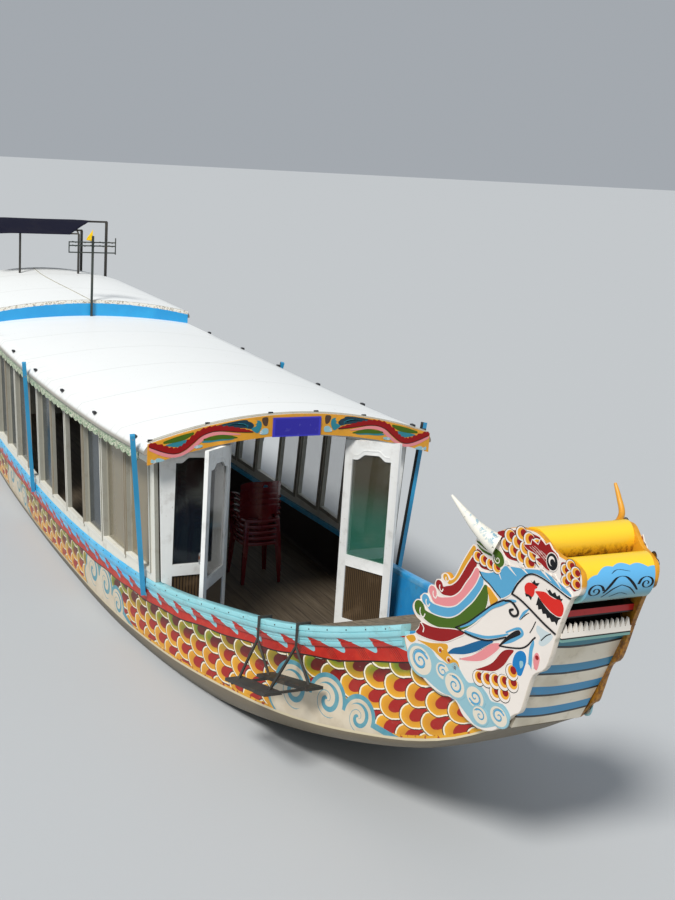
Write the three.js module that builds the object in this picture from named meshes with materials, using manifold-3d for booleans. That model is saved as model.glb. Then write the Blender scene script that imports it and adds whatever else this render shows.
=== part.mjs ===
import * as THREE from 'three';
import { mergeVertices } from 'three/addons/utils/BufferGeometryUtils.js';
import Module from 'manifold-3d';

// River dragon boat, millimetres: +X bow, +Y port, Z = 0 the waterline, X = 0 amidships

// Driving dimensions
const frontWallX = 3300;
const cabinBackX = -3320;
const aftCabinFrontX = -3340;
const aftCabinBackX = -5800;
const wellBackX = -6940;
const wellFrontX = 5200;
const railFrontX = 6440;
const sternX = -7900;
const stemX = 7370;
const stemRake = 260;
const plank = 38;
const railWidth = 73;
const railThick = 45;
const railSkirt = 150;
const floorZ = 240;
const wallThick = 35;
const wallFlare = 0.05;
const roofThick = 42;
const seat = 0.3;

// Hull lines: x, gunwale half-breadth, gunwale height, chine half-breadth, chine height, keel height
const hullLines = [
  [sternX, 700, 1150, 620, 520, 470],
  [-6900, 900, 930, 820, 300, 60],
  [-5700, 1070, 760, 990, 190, -220],
  [-3300, 1218, 625, 1138, 90, -350],
  [-1300, 1265, 605, 1185, 60, -380],
  [500, 1275, 633, 1195, 85, -380],
  [2000, 1236, 700, 1156, 105, -330],
  [frontWallX, 1133, 790, 1053, 165, -220],
  [4300, 982, 943, 902, 255, -60],
  [5300, 783, 1142, 703, 400, 210],
  [6300, 545, 1483, 468, 670, 560],
  [6850, 447, 1740, 345, 895, 850],
  [stemX, 362, 2010, 254, 1215, 1195],
];

// Roof lines: x, half-width, eave height, crown height
const mainRoofLines = [
  [-3330, 1365, 1835, 2085],
  [-1500, 1412, 1815, 2125],
  [300, 1415, 1812, 2165],
  [2100, 1385, 1842, 2220],
  [3420, 1335, 1895, 2261],
];
const aftRoofLines = [
  [-5960, 1185, 2060, 2390],
  [-4600, 1290, 2020, 2340],
  [-3290, 1355, 1995, 2290],
];

const colours = {
  hull: 0xd99a1c, rail: 0x35a9d6, deck: 0x8a7a62, frame: 0xe6e6e0, roof: 0xf2f2ee, fascia: 0xc23a1e,
  blue: 0x2a93cf, plate: 0x1c2f8f, pole: 0x2289ad, metal: 0x8d9296, dark: 0x26282b, navy: 0x1c2347,
  yellow: 0xf2bd13, red: 0xb01f1f, cream: 0xe8e0cc, brown: 0x4a3526, face: 0xc9c3b0, chair: 0x6b1218,
  glass: 0x2c3436,
};

const wasm = await Module();
wasm.setup();

const boat = new THREE.Group();

function add(name, geometry, colour, roughness = 0.6, metalness = 0) {
  const material = new THREE.MeshStandardMaterial({ color: colour, roughness, metalness });
  const mesh = new THREE.Mesh(geometry, material);
  mesh.name = name;
  boat.add(mesh);
  return mesh;
}

// Smooth value of a column of a table whose first column is x
function at(table, column, x) {
  const last = table.length - 1;
  let i = 0;
  while (i < last - 1 && x > table[i + 1][0]) i += 1;
  const slope = (a, b) => (table[b][column] - table[a][column]) / (table[b][0] - table[a][0]);
  const x0 = table[i][0];
  const span = table[i + 1][0] - x0;
  const t = THREE.MathUtils.clamp((x - x0) / span, 0, 1);
  const chord = slope(i, i + 1);
  const m0 = (i > 0 ? slope(i - 1, i + 1) : chord) * span;
  const m1 = (i < last - 1 ? slope(i, i + 2) : chord) * span;
  const t2 = t * t;
  const t3 = t2 * t;
  return table[i][column] * (2 * t3 - 3 * t2 + 1) + m0 * (t3 - 2 * t2 + t)
    + table[i + 1][column] * (3 * t2 - 2 * t3) + m1 * (t3 - t2);
}

function stations(from, to, step) {
  const count = Math.max(1, Math.round(Math.abs(to - from) / step));
  return Array.from({ length: count + 1 }, (_, i) => from + ((to - from) * i) / count);
}

// Closed body through a row of rings that have the same number of points [x, y, z]
function loft(rings) {
  const n = rings[0].length;
  const positions = rings.flat(2);
  const indices = [];
  // Each face is halved from its outboard corner, the same way on both sides of the boat
  const reach = (i) => Math.abs(positions[3 * i + 1]) + 0.01 * positions[3 * i + 2];
  for (let r = 0; r < rings.length - 1; r += 1) {
    for (let i = 0; i < n; i += 1) {
      const a = r * n + i;
      const b = r * n + ((i + 1) % n);
      if (reach(a) > reach(b)) indices.push(a, b, b + n, a, b + n, a + n);
      else indices.push(a, b, a + n, b, b + n, a + n);
    }
  }
  const normal = new THREE.Vector3();
  const capOf = (ring) => {
    const points = ring.map((p) => new THREE.Vector3(...p));
    normal.set(0, 0, 0);
    points.forEach((p, i) => normal.add(p.clone().cross(points[(i + 1) % n])));
    const drop = ['x', 'y', 'z'].sort((u, v) => Math.abs(normal[v]) - Math.abs(normal[u]))[0];
    const [u, v] = ['x', 'y', 'z'].filter((axis) => axis !== drop);
    const flat = points.map((p) => new THREE.Vector2(p[u], p[v]));
    const turned = THREE.ShapeUtils.isClockWise(flat);
    if (turned) flat.reverse();
    const faces = THREE.ShapeUtils.triangulateShape(flat, []);
    const order = (k) => (turned ? n - 1 - k : k);
    return faces.map(([a, b, c]) => (turned ? [order(c), order(b), order(a)] : [a, b, c]));
  };
  const end = (rings.length - 1) * n;
  capOf(rings[0]).forEach(([a, b, c]) => indices.push(c, b, a));
  capOf(rings[rings.length - 1]).forEach(([a, b, c]) => indices.push(end + a, end + b, end + c));
  return closed(positions, indices);
}

// Indexed geometry whose faces point outwards
function closed(positions, indices) {
  let volume = 0;
  const p = (i) => new THREE.Vector3().fromArray(positions, i * 3);
  for (let i = 0; i < indices.length; i += 3) {
    volume += p(indices[i]).dot(p(indices[i + 1]).cross(p(indices[i + 2])));
  }
  if (volume < 0) indices.reverse();
  const geometry = new THREE.BufferGeometry();
  geometry.setAttribute('position', new THREE.Float32BufferAttribute(positions, 3));
  geometry.setIndex(indices);
  return geometry;
}

function solidOf(geometry) {
  const bare = geometry.clone();
  bare.deleteAttribute('normal');
  bare.deleteAttribute('uv');
  const merged = mergeVertices(bare, 1e-3);
  const triVerts = Uint32Array.from(merged.index.array);
  const vertProperties = Float32Array.from(merged.attributes.position.array);
  return new wasm.Manifold(new wasm.Mesh({ numProp: 3, vertProperties, triVerts }));
}

function geometryOf(solid) {
  const mesh = solid.getMesh();
  const geometry = new THREE.BufferGeometry();
  geometry.setAttribute('position', new THREE.BufferAttribute(Float32Array.from(mesh.vertProperties), 3));
  geometry.setIndex(Array.from(mesh.triVerts));
  return geometry;
}

const join = (...parts) => geometryOf(parts.map(solidOf).reduce((a, b) => a.add(b)));
const cut = (part, ...tools) => geometryOf(tools.map(solidOf).reduce((a, b) => a.subtract(b), solidOf(part)));
const common = (a, b) => geometryOf(solidOf(a).intersect(solidOf(b)));

function box(x0, x1, y0, y1, z0, z1) {
  const geometry = new THREE.BoxGeometry(x1 - x0, y1 - y0, z1 - z0);
  return geometry.translate((x0 + x1) / 2, (y0 + y1) / 2, (z0 + z1) / 2);
}

// Square or round bar between two points
function bar(from, to, width, sides = 4) {
  const a = new THREE.Vector3(...from);
  const b = new THREE.Vector3(...to);
  const radius = sides === 4 ? width * Math.SQRT1_2 : width / 2;
  const geometry = new THREE.CylinderGeometry(radius, radius, a.distanceTo(b), sides, 1);
  if (sides === 4) geometry.rotateY(Math.PI / 4);
  const turn = new THREE.Quaternion().setFromUnitVectors(new THREE.Vector3(0, 1, 0), b.clone().sub(a).normalize());
  return geometry.applyQuaternion(turn).translate(...a.lerp(b, 0.5).toArray());
}

// Outline of [y, z] points made thick along X
const plateAcross = (outline, x0, x1) => loft([x0, x1].map((x) => outline.map(([y, z]) => [x, y, z])));

// Mirror from port to starboard
const mirrored = (geometry) => geometryOf(solidOf(geometry).mirror([0, 1, 0]));

// Tapering round body along a curve
function horn(points, radii, sides) {
  const curve = new THREE.CatmullRomCurve3(points.map((p) => new THREE.Vector3(...p)));
  const count = radii.length - 1;
  const frames = curve.computeFrenetFrames(count, false);
  return loft(radii.map((radius, k) => {
    const centre = curve.getPointAt(k / count);
    return Array.from({ length: sides }, (_, i) => {
      const angle = (i / sides) * Math.PI * 2;
      return centre.clone()
        .addScaledVector(frames.normals[k], Math.cos(angle) * radius)
        .addScaledVector(frames.binormals[k], Math.sin(angle) * radius)
        .toArray();
    });
  }));
}

// Hull: straight between stations, so that whatever lies along it meets it exactly
const hullStations = stations(sternX, stemX, 510);
const hullRows = hullStations.map((x) => [
  x, ...[1, 2, 3, 4, 5].map((column) => at(hullLines, column, x)),
  stemRake * THREE.MathUtils.smoothstep(x, 6300, stemX),
]);

function hullShape(x) {
  const pitch = hullStations[1] - hullStations[0];
  const i = THREE.MathUtils.clamp(Math.floor((x - sternX) / pitch), 0, hullRows.length - 2);
  const t = (x - hullRows[i][0]) / pitch;
  const [, gunwale, top, chine, chineZ, keel, rake] = hullRows[i].map((v, k) => v + t * (hullRows[i + 1][k] - v));
  return { gunwale, top, chine, chineZ, keel, rake };
}

// Hull stations between two places, with the places themselves
const alongHull = (from, to) => [from, ...hullStations.filter((x) => x > from + 5 && x < to - 5), to];

// Outer face of the hull side at a height
function sideAt(x, z) {
  const s = hullShape(x);
  const upper = s.gunwale - 35;
  return s.chine + ((upper - s.chine) * (z - s.chineZ)) / (s.top - railThick - s.chineZ);
}

function hullRing(x, grow) {
  const s = hullShape(x);
  const half = [
    [0, s.keel - grow],
    [s.chine * 0.5, s.keel + (s.chineZ - s.keel) * 0.1 - grow],
    [s.chine * 0.86 + grow, s.keel + (s.chineZ - s.keel) * 0.42 - grow],
    [s.chine + grow, s.chineZ],
    [s.gunwale - 35 + grow, s.top - railThick + grow],
  ];
  const shift = (z) => x + (s.rake * (z - s.chineZ)) / (s.top - s.chineZ) + (x > stemX - 1 ? grow : 0);
  const port = half.map(([y, z]) => [shift(z), y, z]);
  const starboard = half.slice(1).reverse().map(([y, z]) => [shift(z), -y, z]);
  return [...port, ...starboard];
}

function wellFloor(x) {
  return Math.max(floorZ, at(hullLines, 5, x) + 90);
}

// Hollow inside the planks, smaller by a clearance
function wellRing(x, clearance) {
  const s = hullShape(x);
  const floor = wellFloor(x) + clearance;
  const bend = Math.max(floor + 30, s.chineZ + 25);
  const side = (z) => sideAt(x, z) - plank - clearance;
  const top = s.top + 400;
  const foot = side(bend) - (bend - floor) * 0.9;
  const half = [[foot, floor], [side(bend), bend], [side(s.top - railThick), s.top - railThick],
    [s.gunwale - railWidth - clearance, top]];
  return [...half.map(([y, z]) => [x, y, z]), ...half.slice().reverse().map(([y, z]) => [x, -y, z])];
}

const wellShape = (from, to, clearance) => loft(alongHull(from, to).map((x) => wellRing(x, clearance)));

// Head boards: flat plates that stand on the hull sides and close in towards the nose
const boardThick = 30;
const boardInner = (x, z) => 262 + 0.2 * (7700 - x) + 0.06 * (z - 2050);

// Side view of a head board: x and z round the brow, jaw, beard, clouds and mane
const boardOutline = [
  [7290, 2420], [7420, 2488], [7610, 2505], [7737, 2426], [7860, 2410], [7955, 2367], [7950, 2250],
  [7866, 2193], [7790, 1995], [7770, 1920], [7709, 1728], [7612, 1641], [7555, 1468], [7524, 1377],
  [7460, 1325], [7330, 1180], [7197, 1127], [7050, 1150], [6965, 1225], [6800, 1215], [6679, 1246],
  [6540, 1330], [6473, 1472], [6570, 1560], [6663, 1637], [6544, 1703], [6570, 1785], [6629, 1780],
  [6660, 1850], [6711, 1860], [6740, 1935], [6792, 1945], [6853, 2020], [6960, 2150], [7083, 2257],
];

function trimBeyondBoards(geometry) {
  const corners = [[6420, 1000], [8200, 1000], [8200, 2700], [6420, 2700]];
  const slab = loft([-seat, 900].map((depth) => corners.map(([x, z]) => [x, boardInner(x, z) + depth, z])));
  return cut(geometry, slab, mirrored(slab));
}

const hullBody = loft(hullStations.map((x) => hullRing(x, 0)));
const hullGrown = loft(hullStations.map((x) => hullRing(x, seat)));
const hull = trimBeyondBoards(cut(hullBody, wellShape(wellBackX, wellFrontX, 0)));
add('hull', hull, colours.hull, 0.45);

// Deck over the engine well, let in between the planks
const helmDeckTop = 750;
const helmDeckThick = 35;
add('helm_deck', common(
  box(wellBackX + 1, aftCabinBackX - 45, -1500, 1500, helmDeckTop - helmDeckThick, helmDeckTop),
  wellShape(wellBackX - 200, aftCabinBackX + 200, seat),
), colours.deck, 0.8);

// Gunwale rail: cap on the planks and a stepped strip outside
function railRing(x) {
  const s = hullShape(x);
  const out = (z, proud) => sideAt(x, z) + proud;
  const low = s.top - railSkirt;
  const mid = s.top - 88;
  return [
    [s.gunwale, s.top], [s.gunwale - railWidth, s.top], [s.gunwale - railWidth, s.top - railThick],
    [s.gunwale - 50, s.top - railThick - 10], [out(low, -12), low], [out(low, 20), low],
    [out(mid, 22), mid], [s.gunwale, mid + 8],
  ].map(([y, z]) => [x, y, z]);
}
const portRail = cut(loft(alongHull(sternX + 5, railFrontX).map(railRing)), hullGrown);
// The same rails a little larger, for trimming what stands on them
const railPad = 2 * seat;
const railGrown = loft(alongHull(sternX + 5 - seat, railFrontX + seat).map((x) => railRing(x).map(([, y, z], k) => (
  [x, y + (k === 0 || k > 4 ? railPad : -railPad), z + (k < 2 ? railPad : -railPad)]))));
const bothRails = join(railGrown, mirrored(railGrown));
add('rub_rail_port', portRail, colours.rail, 0.5);
add('rub_rail_starboard', mirrored(portRail), colours.rail, 0.5);

// Roofs
// Half of a roof's underside and top, crown first: y and z
function roofHalf(lines, x, thick) {
  const [half, eave, crown] = [1, 2, 3].map((column) => at(lines, column, x));
  const drop = crown - eave - 150;
  const arch = [0, 0.2, 0.4, 0.6, 0.8, 0.985].map((u) => [u * (half - 30), crown - drop * u * u]);
  const outer = [...arch, [half - 12, eave + 85], [half, eave + 30], [half - 6, eave]];
  const inner = outer.map(([y, z], k) => (k < arch.length ? [y * 0.985, z - thick] : [y - thick, z]));
  return { outer, inner };
}

function roofRing(lines, x, lift, thick) {
  const { outer, inner } = roofHalf(lines, x, thick);
  const port = outer.map(([y, z]) => [x, y, z + lift]);
  const portInner = inner.map(([y, z]) => [x, y, z + lift]).reverse();
  const flip = (row) => row.map(([a, y, z]) => [a, -y, z]).reverse();
  return [...flip(port.slice(1)), ...port, ...portInner, ...flip(portInner.slice(0, -1))];
}

const roofStations = (lines) => stations(lines[0][0], lines[lines.length - 1][0], 620);
const roofShape = (lines, lift = 0, thick = roofThick) => (
  loft(roofStations(lines).map((x) => roofRing(lines, x, lift, thick))));

// Everything above a roof's underside, for trimming walls against it
function aboveRoof(lines) {
  return loft(roofStations(lines).map((x) => {
    const { inner } = roofHalf(lines, x, roofThick);
    const under = inner.slice(0, 7).map(([y, z]) => [x, y, z - 2 * seat]);
    const far = under.slice(1).map(([, y, z]) => [x, -y, z]).reverse();
    const half = inner[6][0];
    return [...far, ...under, [x, half, 3200], [x, -half, 3200]];
  }));
}
const aboveMain = aboveRoof(mainRoofLines);
const aboveAft = aboveRoof(aftRoofLines);

const mainRoof = roofShape(mainRoofLines);
const aftRoof = roofShape(aftRoofLines);
add('main_roof', mainRoof, colours.roof, 0.5);
add('aft_roof', aftRoof, colours.roof, 0.55);

// Arched boards: top edge follows the roof's crown line at x
function archBoard(lines, x0, x1, halfWidth, height, gap, dip) {
  const crown = at(lines, 3, x0) + gap;
  const edge = at(lines, 2, x0) + 150 + gap;
  const ys = stations(-halfWidth, halfWidth, halfWidth / 5);
  const top = ys.map((y) => [y, crown - (crown - edge) * (y / halfWidth) ** 2]);
  const low = top.map(([y, z]) => [y, z - height - dip * (1 - (y / halfWidth) ** 2)]).reverse();
  return plateAcross([...top, ...low], x0, x1);
}
const fasciaX = 3420 + seat;
const plateFaceX = 3455;
add('front_fascia', archBoard(mainRoofLines, fasciaX, fasciaX + 22, 1303, 174, 0, 8), colours.fascia, 0.5);
add('number_plate', box(fasciaX + 22 + seat, plateFaceX, -220, 220, 2070, 2236), colours.plate, 0.4);
const aftFasciaFront = -3286;
const aftFasciaLow = cut(
  archBoard(aftRoofLines, aftFasciaFront, aftFasciaFront + 22, 1318, 250, 0, 0),
  roofShape(mainRoofLines, seat, 300),
);
add('aft_fascia', aftFasciaLow, colours.blue, 0.5);

// Cabin side walls stand on the rail and lean out
function wallRing(x, top) {
  const s = hullShape(x);
  const foot = s.top + seat;
  const out = s.gunwale - 5;
  return [
    [x, out, foot], [x, out + wallFlare * (top - foot), top],
    [x, out + wallFlare * (top - foot) - wallThick, top], [x, out - wallThick, foot],
  ];
}
const sillHeight = 95;
const lintelDrop = 128;
const bayEdges = [3170, 1970, 770, -430, -1630, -2830, -3300];
const aftBayEdges = [-3420, -4560, -5700];

function openingsAlong(edges, lines) {
  const halves = [];
  edges.slice(1).forEach((aft, i) => {
    const fore = edges[i];
    const middle = (fore + aft) / 2;
    const narrow = fore - aft < 700;
    const pairs = narrow ? [[aft, fore]] : [[aft, middle - 12], [middle + 12, fore]];
    pairs.forEach(([a, b]) => {
      const x0 = a + 38;
      const x1 = b - (b === fore ? 38 : 0);
      const z0 = Math.max(hullShape(x0).top, hullShape(x1).top) + sillHeight;
      const z1 = at(lines, 2, (x0 + x1) / 2) - lintelDrop + 60;
      halves.push(box(x0, x1, 850, 1700, z0, z1));
    });
  });
  return halves;
}

function sideWall(from, to, edges, lines, above) {
  const body = loft(alongHull(from, to).map((x) => wallRing(x, at(lines, 3, x))));
  return cut(body, above, ...openingsAlong(edges, lines));
}
const portWall = sideWall(cabinBackX + 20, frontWallX - 60, bayEdges, mainRoofLines, aboveMain);
add('side_wall_port', portWall, colours.frame, 0.5);
add('side_wall_starboard', mirrored(portWall), colours.frame, 0.5);
const portAftWall = sideWall(aftCabinBackX, aftCabinFrontX, aftBayEdges, aftRoofLines, aboveAft);
add('aft_wall_port', portAftWall, colours.frame, 0.5);
add('aft_wall_starboard', mirrored(portAftWall), colours.frame, 0.5);

// Sliding sashes on tracks inside the windows, one run a side; an open half is a gap between the tracks
const sashThick = 12;
const sashTrack = 22;
function sashRun(from, to, edges, lines, openHalves) {
  const sillOf = (x) => hullShape(x).top + sillHeight;
  const headOf = (x) => at(lines, 2, x) - lintelDrop + 60;
  const run = loft(alongHull(from, to).map((x) => {
    const inner = (z) => hullShape(x).gunwale - 5 + wallFlare * (z - hullShape(x).top - seat) - wallThick - seat;
    const low = sillOf(x) - sashTrack;
    const high = headOf(x) + sashTrack;
    return [[inner(low), low], [inner(high), high], [inner(high) - sashThick, high], [inner(low) - sashThick, low]]
      .map(([y, z]) => [x, y, z]);
  }));
  const gaps = openHalves.map(([bay, half]) => {
    const middle = (edges[bay] + edges[bay + 1]) / 2;
    const [aft, fore] = half === 'aft' ? [edges[bay + 1] + 38, middle - 12] : [middle + 12, edges[bay] - 38];
    return box(aft, fore, 800, 1700, Math.max(sillOf(aft), sillOf(fore)) + 8, headOf((aft + fore) / 2) - 8);
  });
  return cut(run, ...gaps);
}
const mainSashes = (openHalves) => sashRun(cabinBackX + 20, frontWallX - 60, bayEdges, mainRoofLines, openHalves);
const aftSashes = (openHalves) => sashRun(aftCabinBackX, aftCabinFrontX, aftBayEdges, aftRoofLines, openHalves);
const openOnStarboard = [[1, 'aft'], [2, 'fore'], [3, 'fore']];
add('sashes_port', mainSashes([[0, 'aft'], [2, 'aft']]), colours.glass, 0.1);
add('sashes_starboard', mirrored(mainSashes(openOnStarboard)), colours.glass, 0.1);
add('aft_sashes_port', aftSashes([]), colours.glass, 0.1);
add('aft_sashes_starboard', mirrored(aftSashes([])), colours.glass, 0.1);

// Bulkhead behind the aft cabin, with a way through
const bulkheadX = aftCabinBackX - 40;
function acrossWall(x0, x1, lines, above) {
  const s = hullShape(x0);
  const lower = common(box(x0, x1, -1500, 1500, floorZ + seat, s.top), wellShape(x0 - 300, x1 + 300, seat));
  const upperHalf = s.gunwale - 5 - wallThick - seat;
  const top = at(lines, 3, x0);
  const upper = plateAcross([
    [-upperHalf, s.top - 0.2], [upperHalf, s.top - 0.2],
    [upperHalf + wallFlare * (top - s.top), top], [-upperHalf - wallFlare * (top - s.top), top],
  ], x0, x1);
  return cut(join(lower, upper), bothRails, above);
}
const bulkhead = cut(acrossWall(bulkheadX, bulkheadX + 38, aftRoofLines, aboveAft),
  box(bulkheadX - 9, bulkheadX + 60, -330, 330, 900, 1950));
add('aft_bulkhead', bulkhead, colours.frame, 0.5);

// Front wall: two fixed panels, a header and two leaves
const hingeY = 566;
const wallFront = frontWallX;
const wallBack = frontWallX - 38;
const leafTopAtHinge = 1994;
const leafTopAtFree = 2052;
const leafFoot = 282;
const glassFoot = 950;
const wholeFront = acrossWall(wallBack, wallFront, mainRoofLines, aboveMain);
const panelPort = common(wholeFront, box(wallBack - 9, wallFront + 9, hingeY + 5, 1500, 0, 3000));
const glassHead = 1900;
const glassSink = 14;
// A pane is sunk into both faces of the wall
const panePockets = (y0, y1) => [
  box(wallBack - 9, wallBack + glassSink, y0, y1, glassFoot, glassHead),
  box(wallFront - glassSink, wallFront + 9, y0, y1, glassFoot, glassHead),
];
const hingeX = wallFront + 4;
const knuckleHeights = [420, 1150, 1760];
const knuckles = knuckleHeights.map((z) => bar([hingeX, hingeY, z], [hingeX, hingeY, z + 110], 14.8, 16));
const panel = join(cut(panelPort, ...panePockets(hingeY + 84, 1045)), ...knuckles);
add('front_panel_port', panel, colours.frame, 0.5);
add('front_panel_starboard', mirrored(panel), colours.frame, 0.5);
const headerLow = [[-hingeY - 4.7, leafTopAtHinge + 8], [0, leafTopAtFree + 8], [hingeY + 4.7, leafTopAtHinge + 8]];
const header = common(wholeFront, plateAcross([...headerLow, [hingeY + 4.7, 2600], [-hingeY - 4.7, 2600]],
  wallBack - 9, wallFront + 9));
add('front_header', header, colours.frame, 0.5);

// A leaf is drawn shut, hinged at its outer edge, then turned open about the hinge line
const leafOutline = [
  [-hingeY + 5, leafFoot], [-5, leafFoot], [-5, leafTopAtFree], [-hingeY + 5, leafTopAtHinge],
];
const leafShut = cut(plateAcross(leafOutline, wallBack + 1, wallFront - 2), ...panePockets(-hingeY + 80, -80));
function openLeaf(geometry, side, degrees) {
  const leaf = geometryOf(solidOf(geometry));
  leaf.translate(-hingeX, -side * hingeY, 0);
  leaf.rotateZ(THREE.MathUtils.degToRad(degrees));
  return leaf;
}
const starboardOpen = 130;
const portOpen = 120;
const leafStarboard = add('door_leaf_starboard', openLeaf(leafShut, -1, -starboardOpen), colours.frame, 0.5);
leafStarboard.position.set(hingeX, -hingeY, 0);
const leafPort = add('door_leaf_port', openLeaf(mirrored(leafShut), 1, portOpen), colours.frame, 0.5);
leafPort.position.set(hingeX, hingeY, 0);

// Mooring poles lashed outside the rail: foot and head
const poles = [
  ['pole_starboard_front', [3000, -1164, 600], [3330, -1404, 2105]],
  ['pole_port_front', [3330, 1144, 680], [3130, 1414, 2070]],
  ['pole_starboard_aft', [-690, -1294, 520], [-400, -1474, 2020]],
  ['pole_port_aft', [-690, 1294, 520], [-360, 1474, 1985]],
];
poles.forEach(([name, foot, head]) => add(name, cut(bar(foot, head, 42), bothRails), colours.pole, 0.7));

// Head boards on the bow and the pieces between them
const board = loft([0, boardThick].map((depth) => boardOutline.map(([x, z]) => [x, boardInner(x, z) + depth, z])));
add('head_board_starboard', mirrored(board), colours.face, 0.45);
add('head_board_port', board, colours.yellow, 0.6);

const insideBoards = loft([-1, 1].map((side) => (
  [[6900, 900], [8200, 900], [8200, 2800], [6900, 2800]].map(([x, z]) => [x, side * (boardInner(x, z) - seat), z]))));
const crossPiece = (geometry) => common(geometry, insideBoards);
function crossRoll(x, z, radius, length = 760) {
  const roll = new THREE.CylinderGeometry(radius, radius, length, 20, 1);
  return roll.translate(x, 0, z);
}
add('brow_roll', crossPiece(crossRoll(7545, 2405, 112)), colours.yellow, 0.4);
add('snout_roll', crossPiece(crossRoll(7825, 2290, 128)), colours.yellow, 0.4);
add('tongue', crossPiece(box(7640, 7775, -400, 400, 2045, 2090)), colours.red, 0.5);

// Lower jaw with a row of teeth
const toothCount = 13;
const toothPitch = 36;
const jawX = 7762;
const teeth = stations(-toothPitch * (toothCount - 1) / 2, toothPitch * (toothCount - 1) / 2, toothPitch)
  .map((y) => plateAcross([[y - 15, 1960], [y + 15, 1960], [y, 2012]], jawX, jawX + 22));
add('lower_jaw', join(crossPiece(box(7640, jawX + 22, -400, 400, 1905, 1962)), ...teeth), colours.cream, 0.5);

// Chest: raked front panel on the stem
const chestFoot = [stemX + 4, 1216];
const chestHead = [7700, 1900];
const chestThick = 26;
const chest = loft([-400, 400].map((y) => [
  [chestFoot[0], y, chestFoot[1]], [chestFoot[0] + chestThick, y, chestFoot[1]],
  [chestHead[0] + chestThick, y, chestHead[1]], [chestHead[0], y, chestHead[1]],
]));
// Its sides: x, z and half-breadth of the corners
const chestCorners = [[7200, 1150, 246], [7200, 2000, 276], [7900, 2000, 276], [7900, 1150, 246]];
const chestSide = loft([-1, 1].map((side) => chestCorners.map(([x, z, half]) => [x, side * half, z])));
const chestTrimmed = cut(common(crossPiece(chest), chestSide), trimBeyondBoards(hullBody));
add('chest_panel', chestTrimmed, colours.cream, 0.5);

// Horns, whisker and beard
const beyondBoard = loft([boardThick + seat, 900].map((depth) => (
  [[6420, 1000], [8200, 1000], [8200, 2800], [6420, 2800]].map(([x, z]) => [x, boardInner(x, z) + depth, z]))));
const longHorn = horn([[7260, 425, 2310], [7130, 456, 2400], [7010, 480, 2470], [6901, 500, 2537]],
  [70, 62, 48, 36, 26, 16, 7], 10);
add('horn_starboard', mirrored(common(longHorn, beyondBoard)), colours.cream, 0.5);
const curl = horn([[7330, 398, 2395], [7378, 400, 2500], [7335, 400, 2590], [7285, 398, 2668]],
  [22, 24, 22, 18, 14, 8], 8);
add('horn_port', common(curl, beyondBoard), colours.yellow, 0.6);

// Tail boards on the quarters, the stern's answer to the head
const tailInner = (x, z) => 666 + 0.2 * (x - sternX) + 0.1 * (z - 1105);
const tailOutline = [
  [-6950, 760], [-7300, 640], [-7780, 720], [-7900, 930], [-8060, 1060], [-7950, 1250], [-8080, 1500],
  [-7930, 1640], [-8020, 1930], [-7800, 2060], [-7620, 1900], [-7560, 1640], [-7380, 1480], [-7300, 1240],
  [-7120, 1080],
];
const tailBoard = loft([seat, 26].map((depth) => tailOutline.map(([x, z]) => [x, tailInner(x, z) + depth, z])));
const tailPort = cut(tailBoard, railGrown, hullGrown);
add('tail_board_port', tailPort, colours.face, 0.45);
add('tail_board_starboard', mirrored(tailPort), colours.face, 0.45);

// Boarding step hung over the starboard rail
const stepHooks = [4920, 5390];
const stepReach = 240;
const stepRod = 16;
const stepZ = 690;
const stepRise = 105;
const stepPlankWidth = 130;
const stepOuterY = [-1115, -1075];
const stepInnerY = (k) => -(sideAt(stepHooks[k] + stepReach, stepZ + k * stepRise) + 115);
const stepRods = stepHooks.flatMap((x, k) => {
  const s = hullShape(x);
  const lift = s.top + stepRod / 2 + 1;
  const inside = -(s.gunwale - railWidth - 12);
  const outside = -(s.gunwale + stepRod / 2 + 3);
  const neck = [x + 20, outside - 10, lift - 170];
  const footX = x + stepReach;
  const footZ = stepZ + k * stepRise;
  return [
    bar([x, inside, lift - 70], [x, inside, lift + stepRod / 2], stepRod),
    bar([x, inside - 1, lift], [x, outside - 6, lift], stepRod),
    bar([x, outside, lift + 6], neck, stepRod),
    bar([neck[0], neck[1], neck[2] + 6], [footX, stepInnerY(k), footZ], stepRod),
    bar([neck[0], neck[1], neck[2] + 6], [footX, stepOuterY[k], footZ], stepRod),
    bar([footX, stepInnerY(k) + 50, footZ - 14], [footX, stepOuterY[k] - 50, footZ - 14], stepRod),
  ];
});
const stepPlanks = [stepInnerY, (k) => stepOuterY[k]].map((middle) => loft([0, 1].map((k) => {
  const x = stepHooks[k] + stepReach + (k ? 90 : -90);
  const z = stepZ + k * stepRise + (k ? 10 : -30);
  const y = middle(k);
  const half = stepPlankWidth / 2;
  return [[x, y - half, z], [x, y + half, z], [x, y + half, z + 24], [x, y - half, z + 24]];
})));
add('boarding_step', cut(join(...stepRods, ...stepPlanks), hullGrown, bothRails), colours.dark, 0.7);

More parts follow.
